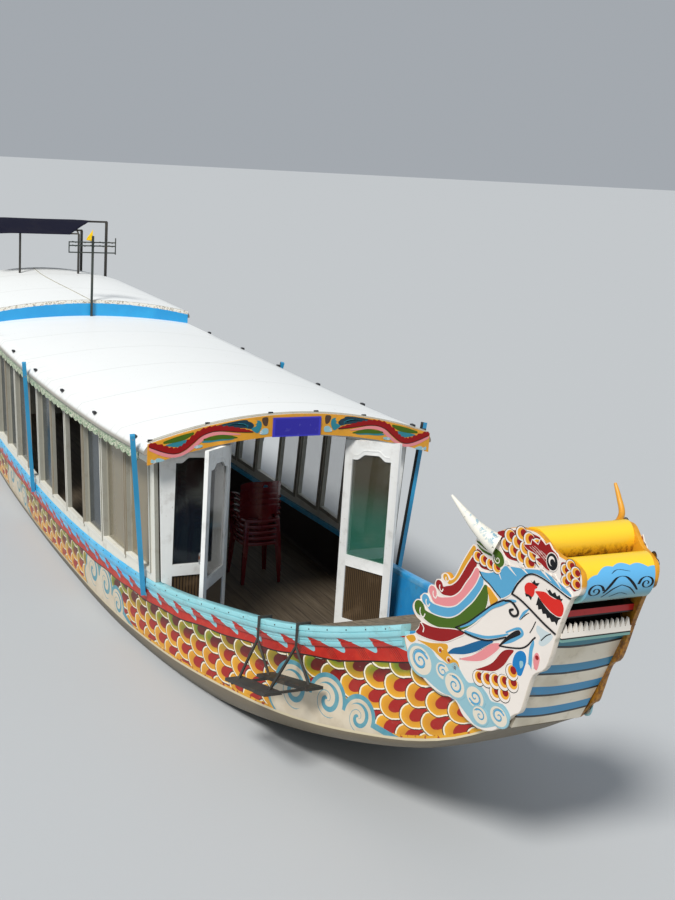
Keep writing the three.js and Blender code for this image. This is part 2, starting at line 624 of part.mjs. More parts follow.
// Aerial mast on the main roof against the blue board
const mastX = -3225;
const mastFoot = at(mainRoofLines, 3, mastX) - 20;
const mastHead = 3050;
const mastWidth = 26;
const boomHalf = 310;
const boomWidth = 14;
const boomLevels = [3030, 2985, 2900];
const postWidth = 12;
const starboardPostY = -boomHalf + 5;
const portPostY = boomHalf - 15;
const rodHalf = 90;
const rodWidth = 9;
const aerial = [
  bar([mastX, 0, mastFoot], [mastX, 0, mastHead + 60], mastWidth),
  ...boomLevels.map((z) => bar([mastX, -boomHalf, z], [mastX, boomHalf - 10, z], boomWidth)),
  bar([mastX, starboardPostY, boomLevels[2]], [mastX, starboardPostY, boomLevels[0]], postWidth),
  bar([mastX, portPostY, boomLevels[2] - 20], [mastX, portPostY, boomLevels[0] + 60], postWidth),
  ...stations(-boomHalf + 70, boomHalf - 80, 120).flatMap((y) => (
    boomLevels.slice(0, 2).map((z) => bar([mastX - rodHalf, y, z], [mastX + rodHalf, y, z], rodWidth)))),
];
add('tv_aerial', cut(join(...aerial), roofShape(mainRoofLines, seat)), colours.metal, 0.5, 0.7);
const flagFoot = mastHead - 10;
const flagHoist = mastX - mastWidth / 2 - seat;
add('pennant', loft([-2, 2].map((y) => [
  [flagHoist, y, flagFoot], [flagHoist, y, flagFoot + 150], [mastX - 120, y, flagFoot + 10],
])), colours.yellow, 0.8);

// Aerial lead clipped along the aft roof
const leadRadius = 5;
const leadPlan = [[-3300, -10], [-3900, -60], [-4600, -125], [-5300, -165], [-5900, -150]];
const leadPath = new THREE.CatmullRomCurve3(leadPlan.map(([x, y]) => {
  const half = at(aftRoofLines, 1, x) - 30;
  const crown = at(aftRoofLines, 3, x);
  const z = crown - (crown - at(aftRoofLines, 2, x) - 150) * (y / half) ** 2 + leadRadius - 2;
  return new THREE.Vector3(x, y, z);
}));
const leadSection = new THREE.Shape().absarc(0, 0, leadRadius, 0, Math.PI * 2, false);
const lead = new THREE.ExtrudeGeometry(leadSection, { steps: 30, curveSegments: 8, extrudePath: leadPath });
add('aerial_lead', cut(lead, roofShape(aftRoofLines, seat)), colours.metal, 0.6);

// Helm: canopy frame, cover, seat, wheel
const tube = 34;
const ridgeX = -6130;
const ridgeZ = 3060;
const canopyFrontX = -5560;
const canopyFrontZ = 2925;
const canopyBackX = -7020;
const canopyBackZ = 2850;
const onRail = (x) => hullShape(x).gunwale - railWidth / 2;
const onRoof = (x, y) => {
  const half = at(aftRoofLines, 1, x) - 30;
  const crown = at(aftRoofLines, 3, x);
  return crown - (crown - at(aftRoofLines, 2, x) - 150) * (y / half) ** 2;
};
const frontPostY = 420;
const frameBars = [-1, 1].flatMap((side) => [
  bar([ridgeX, side * onRail(ridgeX), hullShape(ridgeX).top - 12], [ridgeX, side * onRail(ridgeX), ridgeZ], tube),
  bar([canopyBackX, side * onRail(canopyBackX), hullShape(canopyBackX).top - 12],
    [canopyBackX, side * onRail(canopyBackX), canopyBackZ], tube),
  bar([canopyFrontX, side * frontPostY, onRoof(canopyFrontX, frontPostY) - 12],
    [canopyFrontX, side * frontPostY, canopyFrontZ], 26),
  bar([canopyFrontX, side * frontPostY, canopyFrontZ - 12], [ridgeX, side * (frontPostY + 60), ridgeZ], 20),
  bar([ridgeX, side * (frontPostY + 60), ridgeZ], [canopyBackX, side * (frontPostY + 60), canopyBackZ], 20),
]);
const crossBars = [
  bar([ridgeX, -onRail(ridgeX) - 10, ridgeZ], [ridgeX, onRail(ridgeX) + 10, ridgeZ], 26),
  bar([canopyBackX, -onRail(canopyBackX) - 10, canopyBackZ], [canopyBackX, onRail(canopyBackX) + 10, canopyBackZ], 26),
  bar([canopyFrontX, -frontPostY - 200, canopyFrontZ], [canopyFrontX, frontPostY, canopyFrontZ], 20),
];
add('canopy_frame', cut(join(...frameBars, ...crossBars), bothRails, roofShape(aftRoofLines, seat)),
  colours.metal, 0.5, 0.6);

// Cover: x, height, port edge and starboard edge of each line across
const coverLines = [
  [-5480, canopyFrontZ - 6, 470, -900],
  [canopyFrontX, canopyFrontZ + 14, 500, -930],
  [ridgeX, ridgeZ + 17, 730, -900],
  [-6600, (ridgeZ + canopyBackZ) / 2 + 14, 740, -820],
  [canopyBackX, canopyBackZ + 17, 700, -700],
  [canopyBackX - 90, canopyBackZ - 10, 690, -690],
];
const coverThick = 10;
add('canopy_cover', loft(coverLines.map(([x, z, port, starboard]) => [
  [x, port, z], [x, starboard, z], [x, starboard, z + coverThick], [x, port, z + coverThick],
])), colours.navy, 0.9);

// Helm seat: a board on two upright panels with a brace between them
const seatZ = 1415;
const seatHalf = 260;
const seatBackX = -7420;
const seatFrontX = -7060;
const seatPanel = 50;
const seatPanelFoot = 700;
const seatPanels = [seatBackX + 20, seatFrontX - 20 - seatPanel].map((x) => (
  box(x, x + seatPanel, -seatHalf + 10, seatHalf - 10, seatPanelFoot, seatZ - 50)));
add('helm_seat', cut(join(
  box(seatBackX, seatFrontX, -seatHalf, seatHalf, seatZ - 60, seatZ),
  ...seatPanels,
  box(seatBackX + 60, seatFrontX - 60, -20, 20, seatZ - 300, seatZ - 260),
), hullGrown), colours.brown, 0.8);

const wheelX = -6250;
const wheelZ = 1560;
const wheelRadius = 215;
const columnTop = wheelZ + 60;
const columnX = -6150;
const column = join(
  box(columnX - 60, columnX + 60, -110, 110, helmDeckTop + seat, columnTop),
  bar([columnX - 50, 0, wheelZ], [wheelX + 23 + seat, 0, wheelZ], 40, 12),
);
add('steering_column', column, colours.brown, 0.7);
const rimTorus = new THREE.TorusGeometry(wheelRadius, 14, 8, 28).rotateY(Math.PI / 2).translate(wheelX, 0, wheelZ);
const wheelHub = new THREE.CylinderGeometry(38, 38, 46, 12).rotateZ(Math.PI / 2).translate(wheelX, 0, wheelZ);
const spokes = [0, 1, 2].map((k) => {
  const angle = Math.PI / 2 + (k * Math.PI * 2) / 3;
  return bar([wheelX, 0, wheelZ], [wheelX, Math.cos(angle) * wheelRadius, wheelZ + Math.sin(angle) * wheelRadius], 20);
});
add('steering_wheel', join(rimTorus, wheelHub, ...spokes), colours.dark, 0.5);

const engineHalf = 240;
const engineTop = 640;
add('engine_block', box(-6720, -5980, -engineHalf, engineHalf, floorZ + seat, engineTop), colours.metal, 0.5, 0.6);

// Shaft, propeller and rudder under the stern
const propX = -6180;
const propZ = -345;
const propRadius = 165;
const shaft = cut(join(
  bar([-4700, 0, -300], [propX + 32, 0, propZ], 56, 12),
  box(-6060, -5990, -12, 12, propZ, 0),
), hullGrown);
add('propeller_shaft', shaft, colours.metal, 0.4, 0.8);
const blades = [0, 1, 2].map((k) => {
  const blade = new THREE.CylinderGeometry(52, 34, propRadius - 20, 10, 1).scale(1, 1, 0.13);
  blade.rotateY(THREE.MathUtils.degToRad(58)).translate(0, (propRadius + 20) / 2, 0);
  return blade.rotateX((k * Math.PI * 2) / 3).translate(propX, 0, propZ);
});
const propHub = new THREE.CylinderGeometry(34, 34, 62, 14).rotateZ(Math.PI / 2).translate(propX, 0, propZ);
add('propeller', join(propHub, ...blades), colours.metal, 0.4, 0.8);

const rudderX = -6560;
const rudderTop = -95;
const bearingFoot = -78;
add('rudder_bearing', cut(box(rudderX - 60, rudderX + 60, -45, 45, bearingFoot, 200), hullGrown), colours.metal, 0.5, 0.7);
add('rudder', join(
  bar([rudderX, 0, -470], [rudderX, 0, bearingFoot - seat], 44, 12),
  box(rudderX - 300, rudderX + 60, -9, 9, -480, rudderTop),
), colours.dark, 0.6);

// Stacks of moulded chairs inside the doorway: centre x, centre y, chairs in the stack
const chairStacks = [['chair_stack_near', 1860, 330, 5], ['chair_stack_far', 1150, 20, 6]];
const chairRise = 58;
const chairSeatHeight = 425;
const chairSeatHalf = 210;
const chairBackHeight = 390;
const chairLegWidth = 46;
chairStacks.forEach(([name, x, y, count]) => {
  const seatTop = floorZ + chairSeatHeight + chairRise * (count - 1);
  // Backs, one behind another: height, how far forward of the centre, half-width
  const backLines = [[seatTop - 60 * count, 190, 205], [seatTop + chairBackHeight, 262, 165]];
  const backDepth = 38 + 14 * count;
  const parts = [
    box(x - chairSeatHalf, x + 205, y - chairSeatHalf, y + chairSeatHalf, floorZ + 370, seatTop),
    ...[[-1, -1], [-1, 1], [1, -1], [1, 1]].map(([a, b]) => bar(
      [x + a * 215, y + b * 205, floorZ - 10], [x + a * 170, y + b * 170, floorZ + 390], chairLegWidth)),
    loft(backLines.map(([z, lean, half]) => [
      [x + lean - 30, y - half, z], [x + lean - 30 + backDepth, y - half, z],
      [x + lean - 30 + backDepth, y + half, z], [x + lean - 30, y + half, z],
    ])),
  ];
  const belowFloor = box(x - 300, x + 300, y - 300, y + 300, floorZ - 40, floorZ + seat);
  add(name, cut(join(...parts), belowFloor), colours.chair, 0.35);
});

export default boat;
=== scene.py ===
# River dragon boat: its looks. Metres, +X bow, +Y port, Z = 0 the waterline
import math

import bmesh
import bpy
from mathutils import Matrix, Vector


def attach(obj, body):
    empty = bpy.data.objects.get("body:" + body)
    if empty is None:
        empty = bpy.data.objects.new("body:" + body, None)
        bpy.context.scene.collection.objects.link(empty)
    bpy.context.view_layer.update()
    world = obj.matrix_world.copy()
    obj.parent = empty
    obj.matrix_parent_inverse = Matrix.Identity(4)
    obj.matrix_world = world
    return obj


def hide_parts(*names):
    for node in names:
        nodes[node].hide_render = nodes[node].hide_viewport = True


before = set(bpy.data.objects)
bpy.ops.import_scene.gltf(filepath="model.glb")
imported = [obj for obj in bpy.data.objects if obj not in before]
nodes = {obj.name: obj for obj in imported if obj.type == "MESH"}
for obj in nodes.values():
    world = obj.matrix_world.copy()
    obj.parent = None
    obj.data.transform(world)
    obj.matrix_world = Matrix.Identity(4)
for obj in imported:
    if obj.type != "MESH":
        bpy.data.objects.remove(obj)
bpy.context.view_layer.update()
hands = {"port": 1, "starboard": -1}
finishes = {}  # materials by name


def addObject(name, data):
    made = bpy.data.objects.new(name, data)
    bpy.context.scene.collection.objects.link(made)
    return made


# Camera: place, angles in radians, lens in millimetres
view = {"place": (13.55, -4.515, 4.6215), "yaw": 0.4526, "pitch": 0.2351, "roll": -0.0663, "lens": 53.4,
        "far": 500}


def makeCamera():
    data = bpy.data.cameras.new("camera")
    data.lens = view["lens"]
    data.clip_end = view["far"]
    camera = addObject("camera", data)
    up = Vector((0, 0, 1))
    level = Vector((-math.cos(view["yaw"]), math.sin(view["yaw"]), 0))
    ahead = level * math.cos(view["pitch"]) - up * math.sin(view["pitch"])
    right = level.cross(up)
    down = ahead.cross(right)
    tilt, lean = math.cos(view["roll"]), math.sin(view["roll"])
    right, down = right * tilt + down * lean, down * tilt - right * lean
    turn = Matrix((right, -down, -ahead)).transposed().to_4x4()
    camera.matrix_world = Matrix.Translation(view["place"]) @ turn
    bpy.context.scene.camera = camera


makeCamera()
print("camera placed")


# Shader maths
def linear(code):  # "#rrggbb" as a linear colour
    parts = [int(code[k:k + 2], 16) / 255 for k in (1, 3, 5)]
    return tuple(c / 12.92 if c < 0.04045 else ((c + 0.055) / 1.055) ** 2.4 for c in parts) + (1.0,)


def plug(tree, socket, value):
    if isinstance(value, Wire):
        tree.links.new(value.socket, socket)
    elif isinstance(value, str) and value.startswith("#"):
        socket.default_value = linear(value)
    else:
        socket.default_value = value


class Wire:  # a socket in a material's nodes, with arithmetic
    def __init__(self, tree, socket):
        self.tree = tree
        self.socket = socket

    def maths(self, operation, *values):
        node = self.tree.nodes.new("ShaderNodeMath")
        node.operation = operation
        for place, value in enumerate(values):
            plug(self.tree, node.inputs[place], value)
        return Wire(self.tree, node.outputs[0])

    def __add__(self, other):
        return self.maths("ADD", self, other)

    __radd__ = __add__

    def __sub__(self, other):
        return self.maths("SUBTRACT", self, other)

    def __rsub__(self, other):
        return self.maths("SUBTRACT", other, self)

    def __mul__(self, other):
        return self.maths("MULTIPLY", self, other)

    __rmul__ = __mul__

    def __truediv__(self, other):
        return self.maths("DIVIDE", self, other)

    def __pow__(self, other):
        return self.maths("POWER", self, other)

    def __gt__(self, other):
        return self.maths("GREATER_THAN", self, other)

    def __lt__(self, other):
        return self.maths("LESS_THAN", self, other)

    def floor(self):
        return self.maths("FLOOR", self)

    def fraction(self):
        return self.maths("FRACT", self)

    def sine(self):
        return self.maths("SINE", self)

    def size(self):
        return self.maths("ABSOLUTE", self)

    def most(self, other):
        return self.maths("MAXIMUM", self, other)

    def rise(self, low, high):  # 0 at low, 1 at high, smooth between
        node = self.tree.nodes.new("ShaderNodeMapRange")
        node.interpolation_type = "SMOOTHSTEP"
        plug(self.tree, node.inputs["Value"], self)
        plug(self.tree, node.inputs["From Min"], low)
        plug(self.tree, node.inputs["From Max"], high)
        return Wire(self.tree, node.outputs["Result"])

    def pick(self, low, high):  # numbers: low where this is 0, high where it is 1
        return low + (high - low) * self if isinstance(high, Wire) or isinstance(low, Wire) \
            else self * (high - low) + low


class Finish:  # one material on a Principled shader; "at" is the object coordinate, "tone" its colour so far
    def __init__(self, name, **constants):
        self.material = bpy.data.materials.new(name)
        self.material.use_nodes = True
        self.tree = self.material.node_tree
        self.shader = self.tree.nodes["Principled BSDF"]
        self.at = self.node("ShaderNodeTexCoord", output="Object")
        self.axes = self.split(self.at)
        self.tone = None
        for socket, value in constants.items():
            self.set(socket.replace("_", " "), value)
        finishes[name] = self.material

    def set(self, socket, value):
        plug(self.tree, self.shader.inputs[socket], value)

    def node(self, kind, settings=(), values=(), output=0):
        made = self.tree.nodes.new(kind)
        for key, value in dict(settings).items():
            if key == "stops":
                ramp = made.color_ramp
                while len(ramp.elements) < len(value):
                    ramp.elements.new(0.5)
                for element, (place, colour) in zip(ramp.elements, value):
                    element.position = place
                    element.color = linear(colour)
            else:
                setattr(made, key, value)
        for key, value in dict(values).items():
            plug(self.tree, made.inputs[key], value)
        return Wire(self.tree, made.outputs[output])

    def chart(self, name):  # the parts of a UV map
        return self.split(self.node("ShaderNodeUVMap", {"uv_map": name}))

    def facing(self, axis):  # how far the surface faces along an axis
        return self.split(self.node("ShaderNodeNewGeometry", output="Normal"))[axis]

    def split(self, vector):
        made = self.tree.nodes.new("ShaderNodeSeparateXYZ")
        plug(self.tree, made.inputs[0], vector)
        return [Wire(self.tree, out) for out in made.outputs]

    def join(self, x, y, z=0.0):
        return self.node("ShaderNodeCombineXYZ", values={0: x, 1: y, 2: z})

    def noise(self, scale, detail=3.0, roughness=0.55, stretch=None):
        at = self.at
        if stretch:
            at = self.node("ShaderNodeVectorMath", {"operation": "MULTIPLY"}, {0: at, 1: stretch})
        return self.node("ShaderNodeTexNoise", values={
            "Vector": at, "Scale": scale, "Detail": detail, "Roughness": roughness})

    def chance(self, vector):  # a number from 0 to 1 for each cell
        return self.node("ShaderNodeTexWhiteNoise", {"noise_dimensions": "3D"}, {"Vector": vector})

    def angle(self, rise, run):
        return self.node("ShaderNodeMath", {"operation": "ARCTAN2"}, {0: rise, 1: run})

    def mix(self, factor, under, over):
        return self.node("ShaderNodeMix", {"data_type": "RGBA"}, {0: factor, 6: under, 7: over}, output=2)

    def over(self, factor, colour):  # a further colour over the tone
        self.tone = self.mix(factor, self.tone, colour)

    def ramp(self, factor, stops):
        return self.node("ShaderNodeValToRGB", {"stops": stops}, {0: factor})

    def paint(self, roughness=None, bump=None, strength=0.3, distance=0.002):
        self.set("Base Color", self.tone)
        if roughness is not None:
            self.set("Roughness", roughness)
        if bump is not None:
            self.set("Normal", self.node("ShaderNodeBump", values={
                "Height": bump, "Strength": strength, "Distance": distance}))
        return self.material


# Paint on boards: brush marks, faded patches, chips and grime
def oldPaint(name, colour, fade=0.25, dirt=0.3, chips=0.15, gloss=0.42, under="#8d7f6a", grain=0.0, coat=0.15,
             shine=0.5):
    finish = Finish(name, Coat_Weight=coat, Coat_Roughness=0.2, Specular_IOR_Level=shine)
    cloudy = finish.noise(2.3, 4.0)
    fine = finish.noise(38.0, 3.0)
    brushed = finish.noise(1.0, 2.0, stretch=(9.0, 9.0, 90.0))
    plain = linear(colour)
    pale = tuple(min(1.0, c * 1.25 + 0.06) for c in plain[:3]) + (1.0,)
    deep = tuple(c * 0.78 for c in plain[:3]) + (1.0,)
    finish.tone = finish.mix(cloudy.rise(0.35, 0.7) * fade, plain, pale)
    finish.over((1 - cloudy).rise(0.45, 0.75) * fade, deep)
    grime = finish.noise(5.5, 6.0, 0.65).rise(0.5, 0.78) * dirt
    finish.over(grime, "#6b5d48")
    chipped = finish.noise(21.0, 5.0, 0.7).rise(0.68 - 0.1 * chips, 0.72 - 0.1 * chips) * min(1.0, chips * 4)
    finish.over(chipped, under)
    height = brushed * 0.5 + fine * 0.3 - chipped * 0.8
    if grain:
        height = height + finish.noise(1.0, 3.0, stretch=(3.0, 60.0, 60.0)) * grain
    finish.paint(cloudy * 0.2 + grime * 0.4 + gloss - 0.1, height, 0.25, 0.003)


coats = {
    "frameWhite": dict(colour="#e9ebe9", fade=0.1, dirt=0.35, chips=0.12, gloss=0.35, under="#a39a88"),
    "frameCream": dict(colour="#dcd9c9", fade=0.15, dirt=0.35, chips=0.15, gloss=0.42),
    "frameBeige": dict(colour="#a3a091", fade=0.25, dirt=0.45, chips=0.15, gloss=0.45),
    "mullionBrown": dict(colour="#8b8270", fade=0.25, dirt=0.4, chips=0.1, gloss=0.5),
    "skyBlue": dict(colour="#2f9fd8", fade=0.2, dirt=0.15, chips=0.08, gloss=0.34),
    "poleBlue": dict(colour="#2190c0", fade=0.25, dirt=0.25, chips=0.2, gloss=0.5),
    "mustard": dict(colour="#d9971a", fade=0.3, dirt=0.45, chips=0.2, gloss=0.5),
    "cream": dict(colour="#e4dcc8", fade=0.15, dirt=0.35, chips=0.12, gloss=0.42),
    "black": dict(colour="#131316", fade=0.15, dirt=0.1, chips=0.03, gloss=0.4),
    "deckWood": dict(colour="#7a6c57", fade=0.5, dirt=0.6, chips=0.3, gloss=0.75, under="#4d4335", grain=1.5,
                     coat=0.0),
    "brownWood": dict(colour="#4a3222", fade=0.3, dirt=0.4, chips=0.15, gloss=0.6, under="#2c2018", grain=1.0,
                      coat=0.05),
    "darkMetal": dict(colour="#26241f", fade=0.4, dirt=0.5, chips=0.4, gloss=0.6, under="#6a3c20", coat=0.0),
    "engineGreen": dict(colour="#3d4a43", fade=0.3, dirt=0.6, chips=0.3, gloss=0.5, under="#4a2d1a"),
    "chairRed": dict(colour="#6d0f18", fade=0.12, dirt=0.06, chips=0.0, gloss=0.25, coat=0.35),
    "leadGrey": dict(colour="#a9a698", fade=0.2, dirt=0.5, chips=0.0, gloss=0.6, coat=0.0),
    "mastGreen": dict(colour="#27302c", fade=0.3, dirt=0.4, chips=0.3, gloss=0.6, under="#7a7d78", coat=0.0),
}
brushed = {"artWhite": "#e6ded6", "artBlack": "#0f0f12", "artRed": "#d3241a", "artDarkRed": "#8f0c0e",
           "artPink": "#e08a8e", "artSky": "#559fc6", "artPale": "#8fb9c4", "artBlue": "#0c5c8c",
           "artBright": "#0d78b8", "artGreen": "#42620e", "artGold": "#d69a26", "artOrange": "#e2a030",
           "artCream": "#dcd3c2", "artTeal": "#2c7f90", "artNavy": "#17394a", "artMist": "#c3d0d3"}
for name, colour in brushed.items():
    coats[name] = dict(colour=colour, fade=0.06, dirt=0.05, chips=0.02, gloss=0.5, coat=0.05, shine=0.22)
for name, coat in coats.items():
    oldPaint(name, **coat)


def metalFinish(name, colour, rust, roughness):
    finish = Finish(name)
    spots = finish.noise(14.0, 5.0, 0.65)
    rusty = spots.rise(0.62 - rust * 0.3, 0.7 - rust * 0.3)
    finish.tone = finish.mix(finish.noise(60.0) * 0.4, colour, "#6e7072")
    finish.over(rusty, "#6b3a1c")
    finish.set("Metallic", 0.75 - rusty * 0.7)
    finish.paint(rusty * 0.4 + roughness, spots + rusty * 0.6)


metalFinish("greyMetal", "#a2a6a8", 0.35, 0.35)
metalFinish("propellerBronze", "#b58a45", 0.2, 0.3)


def glassFinish(name, low, high, axis, turn, alpha):  # its tint changes at a place on one axis
    finish = Finish(name, Alpha=alpha, Specular_IOR_Level=0.7)
    finish.tone = finish.mix(finish.axes[axis].rise(turn - 0.25, turn + 0.25), low, high)
    dusty = finish.noise(3.0, 6.0, 0.6)
    streaks = finish.noise(1.0, 3.0, stretch=(30.0, 30.0, 1.5))
    finish.over(dusty.rise(0.5, 0.8) * 0.35 + streaks.rise(0.55, 0.8) * 0.15, "#8c938a")
    finish.material.surface_render_method = "BLENDED"
    finish.paint(dusty * 0.15 + 0.06)


# sideGlass turns from dark to beige on the forward bays: a painted reflection of bright ground over the dark
# glass
glassFinish("sideGlass", "#39434a", "#9a8f76", 0, 2.0, 0.72)
glassFinish("frontGlass", "#33705c", "#4b4431", 2, 1.45, 0.55)
glassFinish("clearGlass", "#7f8c94", "#8f9a9c", 0, 2.0, 0.22)
# dimGlass is near black: painted shade of the dark cabin behind it
glassFinish("dimGlass", "#16202a", "#1a1716", 2, 1.5, 0.6)


# Painted shade: a darker second colour on the faces turned along one axis; with worn set, only on the faces
# turned against the axis
def shadedPaint(name, colour, shade, axis, start, worn):
    finish = Finish(name, Coat_Weight=0.1, Coat_Roughness=0.25)
    turned = finish.facing(axis)
    turned = (0 - turned if worn else turned.size()).rise(start, start + 0.2)
    grime = finish.noise(7.0, 6.0, 0.65).rise(0.5, 0.78)
    finish.tone = finish.mix(turned, colour, shade)
    finish.over(grime * 0.35, "#6b5d48")
    finish.paint(finish.noise(2.3, 4.0) * 0.2 + grime * 0.3 + 0.35, grime, 0.25, 0.003)


# painted shade on the wall faces turned fore and aft, the window reveals
shadedPaint("wallPaint", "#e4e3d8", "#96958b", 0, 0.5, False)
# painted shade on the sides of the port poles turned inboard
shadedPaint("poleShade", "#2190c0", "#15181b", 1, 0.2, True)
print("plain finishes made")


# Shapes
def smoothAt(table, column, x):  # smooth value of a column of a table whose first column is x
    last = len(table) - 1
    i = 0
    while i < last - 1 and x > table[i + 1][0]:
        i += 1

    def slope(a, b):
        return (table[b][column] - table[a][column]) / (table[b][0] - table[a][0])

    span = table[i + 1][0] - table[i][0]
    t = min(1.0, max(0.0, (x - table[i][0]) / span))
    m0 = (slope(i - 1, i + 1) if i > 0 else slope(i, i + 1)) * span
    m1 = (slope(i, i + 2) if i < last - 1 else slope(i, i + 1)) * span
    return (table[i][column] * (2 * t ** 3 - 3 * t * t + 1) + m0 * (t ** 3 - 2 * t * t + t)
            + table[i + 1][column] * (3 * t * t - 2 * t ** 3) + m1 * (t ** 3 - t * t))


def spaced(start, end, pitch):
    count = max(1, round(abs(end - start) / pitch))
    return [start + (end - start) * i / count for i in range(count + 1)]


def smoothLine(points, steps=6, closed=False):  # a curve through the points
    count = len(points)
    line = []
    for i in range(count if closed else count - 1):
        def pick(k):
            return Vector(points[k % count]) if closed else Vector(points[min(max(k, 0), count - 1)])
        a, b, c, d = pick(i - 1), pick(i), pick(i + 1), pick(i + 2)
        for s in range(steps):
            t = s / steps
            line.append(0.5 * (2 * b + (c - a) * t + (2 * a - 5 * b + 4 * c - d) * t * t
                               + (3 * b - a - 3 * c + d) * t ** 3))
    return line if closed else line + [Vector(points[-1])]


class Shape:  # gathers faces, then makes one piece
    def __init__(self):
        self.points = []
        self.faces = []
        self.kinds = []
        self.charts = {}

    def add(self, points, faces, kind=0):
        start = len(self.points)
        self.points += [tuple(p) for p in points]
        self.faces += [tuple(start + i for i in face) for face in faces]
        self.kinds += [kind] * len(faces)

    def loft(self, rings, kind=0, capped=True, around=True):
        n = len(rings[0])
        points = [p for ring in rings for p in ring]
        faces = [(r * n + i, r * n + (i + 1) % n, (r + 1) * n + (i + 1) % n, (r + 1) * n + i)
                 for r in range(len(rings) - 1) for i in range(n if around else n - 1)]
        if capped:
            faces += [tuple(reversed(range(n))), tuple((len(rings) - 1) * n + i for i in range(n))]
        self.add(points, faces, kind)

    def beam(self, a, b, width, depth, facing=(0, 0, 1), kind=0):  # a straight bar, depth along facing
        a, b = Vector(a), Vector(b)
        along = (b - a).normalized()
        side = along.cross(Vector(facing)).normalized() * width / 2
        face = side.cross(along).normalized() * depth / 2
        ends = [[p + side + face, p - side + face, p - side - face, p + side - face] for p in (a, b)]
        self.loft(ends, kind)

    def tube(self, path, radii, sides=12, kind=0):
        path = [Vector(p) for p in path]
        if not hasattr(radii, "__len__"):
            radii = [radii] * len(path)
        turns = [2 * math.pi * k / sides for k in range(sides)]
        across = None
        rings = []
        for i, p in enumerate(path):
            along = (path[min(i + 1, len(path) - 1)] - path[max(i - 1, 0)]).normalized()
            if across is None:
                across = along.orthogonal().normalized()
            across = (across - along * across.dot(along)).normalized()
            other = along.cross(across)
            rings.append([p + (across * math.cos(turn) + other * math.sin(turn)) * radii[i] for turn in turns])
        self.loft(rings, kind)

    def plate(self, outline, low, high, kind=0):  # an outline made thick; low and high place its points
        n = len(outline)
        points = [low(*p) for p in outline] + [high(*p) for p in outline]
        faces = [(i, (i + 1) % n, n + (i + 1) % n, n + i) for i in range(n)]
        faces += [tuple(reversed(range(n))), tuple(range(n, 2 * n))]
        self.add(points, faces, kind)

    def build(self, name, paints, smooth=35, bevel=0.0, merge=True):  # a plain mesh object
        mesh = bpy.data.meshes.new(name)
        mesh.from_pydata(self.points, [], self.faces)
        for paint in paints:
            mesh.materials.append(finishes[paint])
        mesh.polygons.foreach_set("material_index", self.kinds)
        for chart, values in self.charts.items():
            layer = mesh.uv_layers.new(name=chart)
            for loop in mesh.loops:
                layer.data[loop.index].uv = values[loop.vertex_index]
        work = bmesh.new()
        work.from_mesh(mesh)
        if merge:
            bmesh.ops.remove_doubles(work, verts=work.verts, dist=1e-6)
        bmesh.ops.recalc_face_normals(work, faces=work.faces)
        crowded = [f for f in work.faces if len(f.verts) > 4]
        bmesh.ops.triangulate(work, faces=crowded, ngon_method="EAR_CLIP")
        work.to_mesh(mesh)
        work.free()
        piece = addObject(name, mesh)
        if bevel:
            rounded = piece.modifiers.new("bevel", "BEVEL")
            rounded.width = bevel
            rounded.segments = 2
            rounded.limit_method = "ANGLE"
            rounded.angle_limit = math.radians(40)
            settle(piece)
        piece.data.shade_smooth()
        piece.data.set_sharp_from_angle(angle=math.radians(smooth))
        return piece

    def make(self, name, body, paints, slot=None, stands=None, wall=None, **looks):
        piece = self.build(name, paints, **looks)
        if wall:
            thicken(piece, *wall)
        return dress(piece, body, slot, stands)


def settle(piece):  # turns live modifiers into plain mesh
    graph = bpy.context.evaluated_depsgraph_get()
    mesh = bpy.data.meshes.new_from_object(piece.evaluated_get(graph))
    piece.modifiers.clear()
    piece.data = mesh


def thicken(piece, thickness, offset=-1.0, levels=0):  # gives a sheet its thickness, and rounds it in levels
    wall = piece.modifiers.new("wall", "SOLIDIFY")
    wall.thickness = thickness
    wall.offset = offset
    if levels:
        rounded = piece.modifiers.new("rounded", "SUBSURF")
        rounded.levels = rounded.render_levels = levels
    settle(piece)


# What moves a piece, and the CAD node it stands for, which is hidden; its slot is not used
def dress(piece, body, slot=None, stands=None):
    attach(piece, body)
    if stands:
        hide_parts(stands)
    return piece


# Painted figures: flat closed shapes that stand a hair proud of a board
def curl(centre, radius, start, turns, width, shrink=0.2):  # a spiral running inwards, thinner at its end
    count = max(8, round(abs(turns) * 9))
    line = []
    for k in range(count + 1):
        t = k / count
        angle = 2 * math.pi * (start + turns * t)
        reach = radius * (1 - (1 - shrink) * t)
        line.append((centre[0] + reach * math.cos(angle), centre[1] + reach * math.sin(angle),
                     width * (1 - 0.5 * t)))
    return line


def within(a, b, outline):  # whether a point lies inside an outline
    found = False
    for (a0, b0), (a1, b1) in zip(outline, outline[1:] + outline[:1]):
        if (b0 > b) != (b1 > b) and a < a0 + (b - b0) * (a1 - a0) / (b1 - b0):
            found = not found
    return found


def disc(centre, radius, sides=16, squash=1.0):
    return [(centre[0] + radius * math.cos(2 * math.pi * k / sides),
             centre[1] + radius * squash * math.sin(2 * math.pi * k / sides)) for k in range(sides)]


